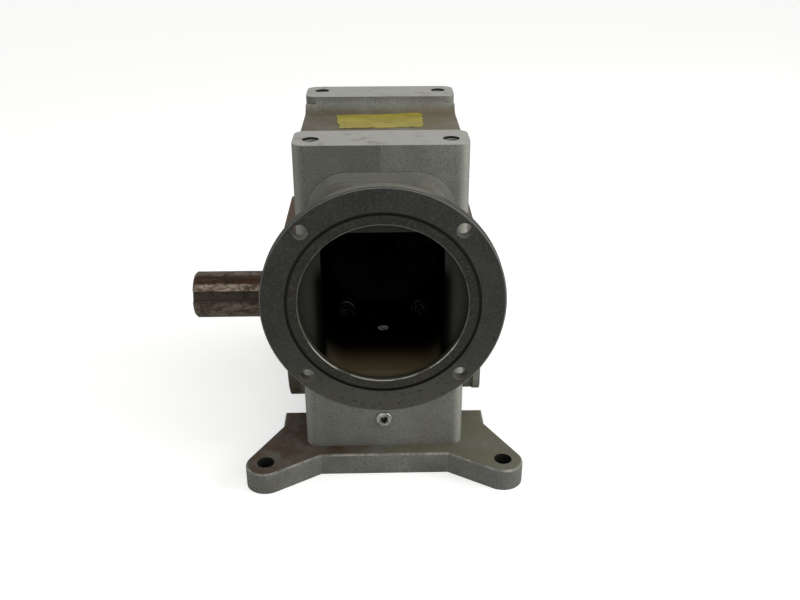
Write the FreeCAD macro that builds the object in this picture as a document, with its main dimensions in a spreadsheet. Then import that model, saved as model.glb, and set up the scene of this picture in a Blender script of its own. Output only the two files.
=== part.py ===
import FreeCAD, Part
import math
import os
from types import SimpleNamespace
import Sketcher
from FreeCAD import Placement, Rotation, Vector

# A right-angle worm gear reducer on two cast feet. The origin is the centre of
# the four foot holes on the mounting plane, +Z is up, the worm runs along Y and
# opens to the motor flange at -Y, and the output shaft leaves towards -X.
# Every length is in millimetres and stands once in the sheet that this makes.
SIZES = {
    # gear housing casting
    "block_width": 131.8,
    "block_depth": 197.0,
    "block_height": 261.4,
    "block_round": 10.0,
    "worm_below_top": 81.3,
    "centre_distance": 82.55,
    "pad_length": 41.2,
    "pad_end_round": 9.0,
    "saddle_depth": 13.4,
    "saddle_round": 12.0,
    "chamber_wall": 9.4,
    "chamber_end_wall": 28.5,
    "chamber_floor_wall": 8.0,
    "chamber_round": 14.0,
    "pad_hole": 12.3,
    "pad_hole_deep": 24.0,
    "lower_pad_hole": 10.2,
    "pad_hole_spacing_x": 104.65,
    "pad_hole_spacing_y": 163.1,
    # feet
    "foot_thickness": 19.5,
    "foot_hole": 14.3,
    "foot_spacing_x": 196.4,
    "foot_spacing_y": 242.0,
    "foot_end_round": 16.5,
    "foot_front_overhang": 13.0,
    "foot_front_flat": 106.6,
    "foot_rear_width": 177.0,
    "foot_rear_reach": 54.3,
    "foot_leg_reach": 32.2,
    "foot_edge_round": 2.5,
    "foot_bolt": 10.0,
    "foot_bolt_head": 16.0,
    "foot_bolt_head_height": 8.0,
    "foot_bolt_grip": 9.0,
    "foot_bolt_key": 8.0,
    "foot_bolt_key_floor": 2.0,
    "foot_bolt_recess": 18.0,
    "washer_outside": 16.8,
    "foot_bolt_into_block": 20.0,
    "washer_thickness": 2.0,
    # motor flange adapter
    "flange_bolt_edge": 7.9375,
    "flange_thickness": 9.5,
    "flange_face_reach": 198.1,
    "flange_bolt_circle": 149.225,
    "flange_bolt_hole": 10.4,
    "flange_rim_chamfer": 1.2,
    "register_diameter": 114.3,
    "register_depth": 6.0,
    "groove_diameter": 129.5,
    "groove_width": 1.8,
    "groove_depth": 1.6,
    "tunnel_half_width": 41.0,
    "tunnel_round": 16.0,
    "tunnel_top": 50.0,
    "tunnel_top_at_block": 48.5,
    "tunnel_floor": 53.0,
    "neck_wall": 7.0,
    "neck_top_at_block": 53.0,
    "neck_floor_at_block": 59.0,
    "neck_flare": 8.0,
    "neck_flare_knee": 2.3,
    "adapter_base": 12.0,
    "adapter_screw_from_wall": 13.0,
    "adapter_screw_from_roof": 7.5,
    "adapter_screw": 8.0,
    "adapter_screw_reach": 16.0,
    "adapter_drain_plug": 8.2,
    "adapter_drain_key": 4.4,
    "adapter_drain_back": 16.0,
    "gasket_thickness": 0.5,
    # worm and its bearings
    "gear_teeth": 30,
    "worm_pitch_diameter": 41.3,
    "worm_turns": 5.5,
    "thread_sink": 0.6,
    "pressure_angle": 20.0,
    "gap_sweep": 50.0,
    "gap_steps": 6,
    "tooth_backlash": 0.16,
    "addendum_share": 1.0,
    "dedendum_share": 1.2,
    "worm_bearing_bore": 25.0,
    "worm_bearing_outside": 52.0,
    "worm_bearing_width": 16.25,
    "worm_cup_width": 13.0,
    "worm_cone_width": 15.0,
    "worm_roller_circle": 38.5,
    "worm_roller": 6.0,
    "worm_roller_length": 9.5,
    "worm_rollers": 14,
    "input_spigot": 9.0,
    "input_cap_edge": 8.0,
    "input_cap_thickness": 6.0,
    "input_cap_screw_circle": 67.0,
    "input_seal_outside": 40.0,
    "input_seal_width": 7.0,
    "input_stub_diameter": 22.225,
    "input_stub_length": 24.0,
    "input_key_width": 4.76,
    "input_key_run_out": 3.0,
    "shaft_clearance": 1.5,
    "end_cap_edge": 9.0,
    "end_cap_thickness": 8.0,
    "end_cap_screw_circle": 72.0,
    "end_cap_hub_diameter": 60.0,
    "cap_screw": 6.0,
    "cap_screw_reach": 12.0,
    "cap_land": 3.0,
    "cap_ring": 6.0,
    "shaft_chamfer": 1.0,
    # output shaft, gear and bearings
    "output_diameter": 41.275,
    "output_end_reach": 167.0,
    "output_key_end": 109.0,
    "output_key_turn": 71.5,
    "step_clear": 4.0,
    "output_key_width": 9.525,
    "output_key_depth": 4.76,
    "output_chamfer": 2.0,
    "gear_seat_diameter": 50.0,
    "collar_diameter": 58.0,
    "collar_width": 10.0,
    "hub_length": 40.0,
    "hub_diameter": 74.0,
    "rim_width": 30.0,
    "throat_lip": 2.07333,
    "rim_inside": 98.0,
    "hub_web": 16.0,
    "hub_rim": 6.0,
    "spacer_diameter": 56.0,
    "gear_key_width": 14.0,
    "gear_key_height": 9.0,
    "gear_key_length": 36.0,
    "gear_key_in_hub": 3.6,
    "output_bearing_bore": 45.0,
    "output_bearing_outside": 85.0,
    "output_bearing_width": 20.75,
    "output_cup_width": 16.0,
    "output_cone_width": 19.0,
    "output_roller_circle": 65.0,
    "output_roller": 8.2,
    "output_roller_length": 13.5,
    "output_rollers": 16,
    "output_seal_outside": 62.0,
    "output_seal_width": 8.0,
    "roller_tilt": 12.5,
    "roller_taper": 2.0,
    "roller_gap": 0.12,
    "cage_thickness": 0.9,
    "cage_play": 0.15,
    "cage_overhang": 1.35,
    # a cone's ribs, as shares of the bearing's width and of the rib
    "cone_rib": 0.125,
    "cone_small_rib": 0.07,
    "cone_rib_height": 0.8,
    "cone_small_rib_height": 0.4,
    # a seal's lip and face, as shares of its section and its width
    "seal_wall": 0.28,
    "seal_lip": 0.75,
    "seal_face": 0.3,
    # side covers
    "output_boss_reach": 70.5,
    "output_boss_wall": 7.5,
    "output_boss_round": 45.0,
    "output_cover_thickness": 9.6,
    "gear_passage": 2.4,
    "output_screw_inset": 21.0,
    "output_nose_diameter": 76.0,
    "output_nose_length": 9.5,
    "nose_chamfer": 1.5,
    "cover_hub_wall": 8.0,
    "cup_lip": 5.0,
    "crown_rise": 3.0,
    "closed_boss_reach": 76.0,
    "closed_boss_edge_y": 8.0,
    "closed_boss_edge_z": 15.0,
    "closed_plate_depth": 150.0,
    "closed_plate_height": 124.0,
    "closed_plate_round": 13.0,
    "closed_plate_thickness": 5.5,
    "closed_screw_inset": 13.0,
    "side_screw": 8.0,
    "side_screw_reach": 12.0,
    "output_screw_reach": 10.0,
    # screw heads, as shares of the screw's diameter
    "socket_head": 1.6,
    "socket_key": 0.78,
    "socket_floor": 0.4,
    "hex_head": 1.6,
    "hex_head_height": 0.65,
    "flat_head": 1.8,
    "flat_key": 0.6,
    "flat_key_floor": 0.3,
    # pipe plugs
    "plug_diameter": 13.7,
    "plug_hex": 6.35,
    "plug_length": 11.0,
    "plug_stand_out": 1.6,
    "drain_height": 45.9,
    "plug_key_depth": 5.1,
    "breather_height": 254.0,
    "breather_hexagon": 14.4,
    "breather_cap": 17.0,
    "breather_cap_top": 11.0,
    "breather_cap_height": 8.0,
    "breather_cap_slope": 3.0,
    # shared clearances
    "static_gap": 0.02,
    "running_gap": 0.05,
    "hole_gap": 0.2,
    "hole_beyond_tip": 2.0,
    "breakthrough": 1.0,
}

doc = FreeCAD.newDocument("WormGearReducer")
sheet = doc.addObject("Spreadsheet::Sheet", "Sizes")
PARTS = []
ALONG = {"X": Rotation(Vector(0, 1, 0), 90), "Y": Rotation(Vector(1, 0, 0), -90), "Z": Rotation()}
LYING = {"X": Rotation(), "Y": Rotation(Vector(0, 0, 1), 90)}
QUARTERS = ((1, 1), (-1, 1), (-1, -1), (1, -1))


class Size:
    """A length that carries its value and its formula in the sheet."""

    def __init__(self, value, text):
        self.value = value
        self.text = text

    def joined(self, other, sign, result):
        return Size(result, "(%s %s %s)" % (self.text, sign, formula(other)))

    def __add__(self, other):
        return self.joined(other, "+", self.value + value(other))

    def __sub__(self, other):
        return self.joined(other, "-", self.value - value(other))

    def __mul__(self, other):
        return self.joined(other, "*", self.value * value(other))

    def __truediv__(self, other):
        return self.joined(other, "/", self.value / value(other))

    def __neg__(self):
        return Size(-self.value, "(-1 * %s)" % self.text)

    def __rsub__(self, other):
        return -self + other

    __radd__ = __add__
    __rmul__ = __mul__


def value(size):
    """The number that a size stands for now."""
    return size.value if isinstance(size, Size) else float(size)


def formula(size):
    """The sheet formula of a size or a plain number."""
    return size.text if isinstance(size, Size) else "(%r)" % float(size)


def fill_sheet():
    """Write every driving size into the sheet, one row each, under its own name."""
    for row, (name, number) in enumerate(SIZES.items(), 1):
        sheet.set("A%d" % row, name.replace("_", " "))
        sheet.set("B%d" % row, str(number))
        sheet.setAlias("B%d" % row, name)
    doc.recompute()
    return SimpleNamespace(**{name: Size(float(n), "Sizes." + name) for name, n in SIZES.items()})


def bind(thing, field, size):
    """Drive one field of an object from the sheet."""
    thing.setExpression(field, formula(size))


def place(thing, spot, turn=None):
    """Put an object at a spot, with the coordinates that are sizes driven by the sheet."""
    thing.Placement = Placement(Vector(*[value(c) for c in spot]), turn or Rotation())
    for letter, coordinate in zip("xyz", spot):
        if isinstance(coordinate, Size):
            bind(thing, "Placement.Base." + letter, coordinate)
    return thing


def on_axis(axis, reach, centre):
    """The point at reach along an axis whose other two coordinates are centre."""
    spot = list(centre)
    spot.insert("XYZ".index(axis), reach)
    return spot


def in_order(one, other):
    """Two positions with the lower one first."""
    return (one, other) if value(one) <= value(other) else (other, one)


def rod(diameter, start, end, axis, centre):
    """A round bar between two positions along an axis."""
    low, high = in_order(start, end)
    solid = doc.addObject("Part::Cylinder", "Rod")
    bind(solid, "Radius", diameter / 2)
    bind(solid, "Height", high - low)
    return place(solid, on_axis(axis, low, centre), ALONG[axis])


def hexagon(across_flats, start, end, axis, centre):
    """A hexagonal bar between two positions along an axis."""
    low, high = in_order(start, end)
    solid = doc.addObject("Part::Prism", "Hexagon")
    solid.Polygon = 6
    bind(solid, "Circumradius", across_flats / math.sqrt(3))
    bind(solid, "Height", high - low)
    return place(solid, on_axis(axis, low, centre), ALONG[axis])


def box(low, high):
    """A box between its lowest and highest corners."""
    solid = doc.addObject("Part::Box", "Box")
    for field, a, b in zip(("Length", "Width", "Height"), low, high):
        bind(solid, field, b - a)
    return place(solid, low)


def group(pieces):
    """Separate solids that belong together."""
    compound = doc.addObject("Part::Compound", "Group")
    compound.Links = pieces
    return compound


def fused(pieces):
    """Several solids made one."""
    fusion = doc.addObject("Part::MultiFuse", "Fusion")
    fusion.Shapes = pieces
    fusion.Refine = True
    return fusion


def cut(base, tools):
    """A solid with several others taken out of it."""
    result = doc.addObject("Part::Cut", "Cut")
    result.Base = base
    result.Tool = tools[0] if len(tools) == 1 else fused(tools)
    return result


def part(name, thing):
    """Name an object as one sub-part of the reducer."""
    thing.Label = name
    PARTS.append(thing)
    return thing


def plane(body, role):
    """One of a body's own origin planes."""
    return [feature for feature in body.Origin.OriginFeatures if feature.Role == role][0]


def tangent_angle(here, there):
    """The angle from a corner's centre to where the outline leaves it for the next corner."""
    dx, dy = there[0] - here[0], there[1] - here[1]
    lean = (here[2] - there[2]) / math.hypot(dx, dy)
    return math.atan2(dy, dx) - math.acos(lean)


def outline(body, role, corners, offset=None):
    """A closed sketch through corners in anticlockwise order.

    A corner is (x, y), or (x, y, radius) for a round corner whose centre is x, y.
    """
    sketch = body.newObject("Sketcher::SketchObject", "Outline")
    sketch.AttachmentSupport = [(plane(body, role), "")]
    sketch.MapMode = "FlatFace"
    if offset is not None:
        bind(sketch, "AttachmentOffset.Base.z", offset)
    spots = [tuple(value(c) for c in corner) + (0.0,) * (3 - len(corner)) for corner in corners]
    count = len(spots)
    leave = [tangent_angle(spots[i], spots[(i + 1) % count]) for i in range(count)]

    def edge_point(index, angle):
        x, y, radius = spots[index]
        return Vector(x + radius * math.cos(angle), y + radius * math.sin(angle), 0)

    for i in range(count):
        following = (i + 1) % count
        sketch.addGeometry(Part.LineSegment(edge_point(i, leave[i]), edge_point(following, leave[i])))
    for i, corner in enumerate(corners):
        before, after = (i - 1) % count, i
        if len(corner) == 3:
            circle = Part.Circle(Vector(spots[i][0], spots[i][1], 0), Vector(0, 0, 1), spots[i][2])
            arc = sketch.addGeometry(Part.ArcOfCircle(circle, leave[before], leave[i]))
            sketch.addConstraint(Sketcher.Constraint("Tangent", before, 2, arc, 1))
            sketch.addConstraint(Sketcher.Constraint("Tangent", arc, 2, after, 1))
            fix_point(sketch, arc, 3, corner)
            radius = sketch.addConstraint(Sketcher.Constraint("Radius", arc, spots[i][2]))
            bind(sketch, "Constraints[%d]" % radius, corner[2])
        else:
            sketch.addConstraint(Sketcher.Constraint("Coincident", before, 2, after, 1))
            fix_point(sketch, after, 1, corner)
    return sketch


def fix_point(sketch, geometry, which, corner):
    """Hold a sketch point at the corner's coordinates."""
    for kind, axis_line, coordinate in (("DistanceX", -2, corner[0]), ("DistanceY", -1, corner[1])):
        if value(coordinate) == 0 and not isinstance(coordinate, Size):
            sketch.addConstraint(Sketcher.Constraint("PointOnObject", geometry, which, axis_line))
        else:
            rule = Sketcher.Constraint(kind, -1, 1, geometry, which, value(coordinate))
            bind(sketch, "Constraints[%d]" % sketch.addConstraint(rule), coordinate)


def slab(role, corners, length, offset=None, backwards=False, body=None, both_ways=False):
    """An outline padded to a thickness, in a new body or added to one."""
    body = body or doc.addObject("PartDesign::Body", "Slab")
    pad = body.newObject("PartDesign::Pad", "Pad")
    pad.Profile = (outline(body, role, corners, offset), [""])
    pad.Reversed = backwards
    if both_ways:
        pad.SideType = "Symmetric"
    bind(pad, "Length", length)
    return body


def hollow(body, role, corners, length, offset=None):
    """An outline pocketed out of a body, half the length each side of its plane."""
    pocket = body.newObject("PartDesign::Pocket", "Pocket")
    pocket.Profile = (outline(body, role, corners, offset), [""])
    pocket.SideType = "Symmetric"
    bind(pocket, "Length", length)
    return body


def lofted(role, first, first_offset, second, second_offset):
    """A body that changes from one outline to another."""
    body = doc.addObject("PartDesign::Body", "Loft")
    start = outline(body, role, first, first_offset)
    end = outline(body, role, second, second_offset)
    loft = body.newObject("PartDesign::AdditiveLoft", "Skin")
    loft.Profile = (start, [""])
    loft.Sections = [(end, [""])]
    loft.Ruled = True
    return body


def turned(profile, axis, centre, start=0, direction=1):
    """A turned piece: profile is (distance along the axis, radius) in anticlockwise order.

    start is where distance 0 lies, and direction -1 turns the piece end for end.
    """
    body = doc.addObject("PartDesign::Body", "Turning")
    corners = [(along, radius) for along, radius in profile]
    turning = body.newObject("PartDesign::Revolution", "Revolution")
    sketch = outline(body, "XY_Plane", corners)
    turning.Profile = (sketch, [""])
    turning.ReferenceAxis = (sketch, ["H_Axis"])
    turning.Angle = 360
    turn = LYING[axis] if direction > 0 else LYING[axis] * Rotation(Vector(0, 1, 0), 180)
    return place(body, on_axis(axis, start, centre), turn)


def ring(inside, outside, start, end, axis, centre):
    """A plain turned ring."""
    profile = [(start, inside / 2), (end, inside / 2), (end, outside / 2), (start, outside / 2)]
    return turned(profile, axis, centre)


def rounded(body, radius, chosen):
    """Fillet those edges of a body's newest feature that the test picks."""
    doc.recompute()
    tip = body.Tip
    names = ["Edge%d" % n for n, edge in enumerate(tip.Shape.Edges, 1) if chosen(edge)]
    fillet = body.newObject("PartDesign::Fillet", "Fillet")
    fillet.Base = (tip, names)
    bind(fillet, "Radius", radius)
    return body


def near(number, size):
    """Whether a coordinate lies at a size."""
    return abs(number - value(size)) < 1e-4


def rectangle(half_x, half_y, centre_y=0, radius=None):
    """Corners of a rectangle about a centre, square or round."""
    if radius is None:
        return [(half_x, centre_y + half_y), (-half_x, centre_y + half_y),
                (-half_x, centre_y - half_y), (half_x, centre_y - half_y)]
    across, up = half_x - radius, half_y - radius
    return [(across, centre_y + up, radius), (-across, centre_y + up, radius),
            (-across, centre_y - up, radius), (across, centre_y - up, radius)]


s = fill_sheet()

# Heights and planes that several pieces share.
half_width = s.block_width / 2
half_depth = s.block_depth / 2
block_bottom = s.foot_thickness
block_top = s.foot_thickness + s.block_height
worm_height = block_top - s.worm_below_top
gear_height = worm_height - s.centre_distance
worm_line = (0, worm_height)
gear_line = (0, gear_height)
chamber_side = half_width - s.chamber_wall
chamber_end = half_depth - s.chamber_end_wall
chamber_floor = block_bottom + s.saddle_depth + s.chamber_floor_wall
chamber_roof = block_top - s.saddle_depth - s.chamber_floor_wall
pad_hole_spots = [(s.pad_hole_spacing_x / 2 * i, s.pad_hole_spacing_y / 2 * j) for i, j in QUARTERS]
output_cover_back = s.output_boss_reach + s.gasket_thickness
output_cover_face = output_cover_back + s.output_cover_thickness
output_nose = output_cover_face + s.output_nose_length
closed_plate_back = s.closed_boss_reach + s.gasket_thickness
# The bearings' cups bear outwards on the covers and their cones inwards on the shafts.
output_cup_back = s.closed_boss_reach - s.gasket_thickness
output_cone_back = output_cup_back - s.output_bearing_width
worm_cup_back = half_depth - s.input_spigot
worm_cone_back = worm_cup_back - s.worm_bearing_width
adapter_back = half_depth + s.gasket_thickness
adapter_floor = adapter_back + s.adapter_base
cap_face = half_depth + s.gasket_thickness + s.input_cap_thickness
# The worm's thread and the gear's teeth come from one axial rack: the axial pitch
# is the gear's circular pitch, and a single start advances one tooth a turn.
gear_pitch_radius = s.centre_distance - s.worm_pitch_diameter / 2
module = gear_pitch_radius * 2 / s.gear_teeth
lead = module * math.pi
addendum, dedendum = module * s.addendum_share, module * s.dedendum_share
worm_root = s.worm_pitch_diameter / 2 - dedendum
worm_tip = s.worm_pitch_diameter / 2 + addendum
rim_outside = (gear_pitch_radius + addendum + s.throat_lip) * 2
# The gear goes in through the opening, and bosses, plates and screws are laid out round what they close.
output_opening = rim_outside + s.gear_passage * 2
output_boss_size = output_opening + s.output_boss_wall * 2
output_screw_offset = output_boss_size / 2 - s.output_screw_inset
output_screw_spots = [(output_screw_offset * i, gear_height + output_screw_offset * j)
                      for i, j in QUARTERS]
closed_screw_y = s.closed_plate_depth / 2 - s.closed_screw_inset
closed_screw_z = s.closed_plate_height / 2 - s.closed_screw_inset
closed_screw_spots = [(closed_screw_y * i, gear_height + closed_screw_z * j) for i, j in QUARTERS]
adapter_screw_x = s.tunnel_half_width - s.adapter_screw_from_wall
adapter_screw_z = s.tunnel_top_at_block - s.adapter_screw_from_roof
adapter_screw_spots = [(adapter_screw_x * i, worm_height + adapter_screw_z * j) for i, j in QUARTERS]
flange_diameter = s.flange_bolt_circle + s.flange_bolt_edge * 2
input_cap_diameter = s.input_cap_screw_circle + s.input_cap_edge * 2
end_cap_diameter = s.end_cap_screw_circle + s.end_cap_edge * 2
DIAGONAL = math.sqrt(0.5)
end_cap_screw_spots = [(s.end_cap_screw_circle * DIAGONAL / 2 * i,
                        worm_height + s.end_cap_screw_circle * DIAGONAL / 2 * j) for i, j in QUARTERS]
input_cap_screw_spots = [(s.input_cap_screw_circle / 2 * i, worm_height + s.input_cap_screw_circle / 2 * j)
                         for i, j in ((1, 0), (0, 1), (-1, 0), (0, -1))]


def pad_corner(i, j, low, high, saddle_end):
    """What a pad's corner loses where it is rounded off beside the saddle; i and j pick the corner."""
    radius = s.pad_end_round
    inner_x, outer_x = half_width - radius, half_width + radius
    inner_y, outer_y = saddle_end - s.breakthrough, saddle_end + radius
    x_span = (inner_x, outer_x) if i > 0 else (-outer_x, -inner_x)
    y_span = (inner_y, outer_y) if j > 0 else (-outer_y, -inner_y)
    corner = box((x_span[0], y_span[0], low), (x_span[1], y_span[1], high))
    return cut(corner, [rod(radius * 2, low, high, "Z", (inner_x * i, outer_y * j))])


def gear_housing():
    """The cast block: tapped pads above and below, side bosses, and the gear chamber."""
    body = slab("XY_Plane", rectangle(half_width, half_depth, 0, s.block_round), s.block_height, block_bottom)
    saddle_end, across = half_depth - s.pad_length, s.block_width * 2
    round_end = saddle_end - s.saddle_round
    floor, above = block_top - s.saddle_depth, block_top + s.saddle_depth
    roof, below = block_bottom + s.saddle_depth, block_bottom - s.saddle_depth
    round_floor, round_roof = floor + s.saddle_round, roof - s.saddle_round
    top_saddle = [(saddle_end, above), (-saddle_end, above),
                  (-round_end, round_floor, s.saddle_round), (round_end, round_floor, s.saddle_round)]
    bottom_saddle = [(round_end, round_roof, s.saddle_round), (-round_end, round_roof, s.saddle_round),
                     (-saddle_end, below), (saddle_end, below)]
    output_boss = rectangle(output_boss_size / 2, output_boss_size / 2, gear_height, s.output_boss_round)
    closed_boss = rectangle(closed_screw_y + s.closed_boss_edge_y, closed_screw_z + s.closed_boss_edge_z,
                            gear_height, s.closed_plate_round)
    hollow(body, "YZ_Plane", top_saddle, across)
    hollow(body, "YZ_Plane", bottom_saddle, across)
    slab("YZ_Plane", output_boss, s.output_boss_reach, body=body, backwards=True)
    slab("YZ_Plane", closed_boss, s.closed_boss_reach, body=body)
    hollow(body, "XY_Plane", rectangle(chamber_side, chamber_end, 0, s.chamber_round),
           chamber_roof - chamber_floor, (chamber_roof + chamber_floor) / 2)
    side_start, end_start = chamber_side - s.breakthrough, chamber_end - s.breakthrough
    output_bore = s.output_bearing_outside + s.static_gap * 2
    worm_bore = s.worm_bearing_outside + s.static_gap * 2
    holes = [rod(output_opening, -s.output_boss_reach, -side_start, "X", gear_line),
             rod(output_bore, side_start, s.closed_boss_reach, "X", gear_line),
             rod(worm_bore, -half_depth, -end_start, "Y", worm_line),
             rod(worm_bore, half_depth, end_start, "Y", worm_line),
             rod(s.plug_diameter, -half_depth, -end_start, "Y", (0, s.drain_height))]
    for height in (s.drain_height, gear_height, s.breather_height):
        holes.append(rod(s.plug_diameter, end_start, half_depth, "Y", (0, height)))
    for i, j in QUARTERS:
        holes.append(pad_corner(i, j, floor, above, saddle_end))
        holes.append(pad_corner(i, j, below, roof, saddle_end))
    for spot in pad_hole_spots:
        holes.append(rod(s.pad_hole, block_top - s.pad_hole_deep, block_top, "Z", spot))
        holes.append(rod(s.lower_pad_hole, block_bottom, block_bottom + s.pad_hole_deep, "Z", spot))
    for diameter, face, reach, axis, spots in (
            (s.side_screw, -s.output_boss_reach, s.output_screw_reach, "X", output_screw_spots),
            (s.side_screw, s.closed_boss_reach, -s.side_screw_reach, "X", closed_screw_spots),
            (s.adapter_screw, -half_depth, s.adapter_screw_reach, "Y", adapter_screw_spots),
            (s.cap_screw, -half_depth, s.cap_screw_reach, "Y", input_cap_screw_spots),
            (s.cap_screw, half_depth, -s.cap_screw_reach, "Y", end_cap_screw_spots)):
        beyond = s.hole_beyond_tip if value(reach) > 0 else -s.hole_beyond_tip
        holes += [rod(diameter, face, face + reach + beyond, axis, spot) for spot in spots]
    part("gear_housing", cut(body, holes))


def foot(name, side):
    """One cast foot under an end of the block, with two long toes; side is -1 at the motor end."""
    front = half_depth + s.foot_front_overhang
    toe_x, toe_y = s.foot_spacing_x / 2, s.foot_spacing_y / 2
    rear_x = s.foot_rear_width / 2
    knee_y, rear_y = half_depth - s.foot_leg_reach, half_depth - s.foot_rear_reach
    right = [(rear_x, rear_y), (rear_x, knee_y), (toe_x, toe_y, s.foot_end_round),
             (s.foot_front_flat / 2, front)]
    left = [(-corner[0],) + corner[1:] for corner in reversed(right)]
    corners = right + left
    if side < 0:
        corners = [(corner[0], -corner[1]) + corner[2:] for corner in reversed(corners)]
    body = slab("XY_Plane", corners, s.foot_thickness)
    rounded(body, s.foot_edge_round,
            lambda e: near(e.CenterOfMass.z, s.foot_thickness) and e.BoundBox.ZLength < 0.01)
    holes = [rod(s.foot_hole, 0, s.foot_thickness, "Z", (toe_x * i, toe_y * side)) for i in (1, -1)]
    for spot in pad_hole_spots:
        if value(spot[1]) * side > 0:
            seat = s.foot_thickness - s.foot_bolt_grip
            holes.append(rod(s.foot_bolt + s.hole_gap * 2, 0, s.foot_thickness, "Z", spot))
            holes.append(rod(s.foot_bolt_recess, 0, seat, "Z", spot))
    part(name, cut(body, holes))


def foot_bolts():
    """Socket screws that hold the feet to the lower pads, sunk in the soles, on lock washers."""
    screws, washers = [], []
    seat = s.foot_thickness - s.foot_bolt_grip
    for spot in pad_hole_spots:
        head_top = seat - s.washer_thickness
        head_end = head_top - s.foot_bolt_head_height
        shank = rod(s.foot_bolt, head_top, block_bottom + s.foot_bolt_into_block, "Z", spot)
        head = rod(s.foot_bolt_head, head_end, head_top, "Z", spot)
        socket = hexagon(s.foot_bolt_key, head_end, head_top - s.foot_bolt_key_floor, "Z", spot)
        screws.append(cut(fused([shank, head]), [socket]))
        outer = rod(s.washer_outside, head_top, seat, "Z", spot)
        washers.append(cut(outer, [rod(s.foot_bolt + s.hole_gap * 2, head_top, seat, "Z", spot)]))
    part("foot_bolts", group(screws))
    part("foot_lock_washers", group(washers))


def socket_screw(diameter, seat, reach, axis, spot, out):
    """A socket head screw whose head stands on seat towards out, with its tip at reach inside."""
    top, floor = seat + diameter * out, seat + diameter * s.socket_floor * out
    head = rod(diameter * s.socket_head, seat, top, axis, spot)
    shank = rod(diameter, reach, seat, axis, spot)
    return cut(fused([head, shank]), [hexagon(diameter * s.socket_key, floor, top, axis, spot)])


def hex_screw(diameter, seat, reach, axis, spot, out):
    """A hexagon head screw whose head stands on seat towards out, with its tip at reach inside."""
    top = seat + diameter * s.hex_head_height * out
    head = hexagon(diameter * s.hex_head, seat, top, axis, spot)
    return fused([head, rod(diameter, reach, seat, axis, spot)])


def flat_screw(diameter, face, reach, axis, spot, out):
    """A countersunk socket screw whose head is flush with face, with its tip at reach inside."""
    head, shank, long = diameter * s.flat_head / 2, diameter / 2, (face - reach) * out
    profile = [(0, 0), (long, 0), (long, shank), (head - shank, shank), (0, head)]
    floor = face - diameter * s.flat_key_floor * out
    return cut(turned(profile, axis, spot, face, -out),
               [hexagon(diameter * s.flat_key, floor, face, axis, spot)])


def countersink(diameter, face, back, axis, spot, out):
    """The hole that a countersunk screw passes through, from face to back."""
    head, hole = diameter * s.flat_head / 2 + s.static_gap, diameter / 2 + s.hole_gap
    deep = (face - back) * out
    profile = [(0, 0), (deep, 0), (deep, hole), (head - hole, hole), (0, head)]
    return turned(profile, axis, spot, face, -out)


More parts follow.
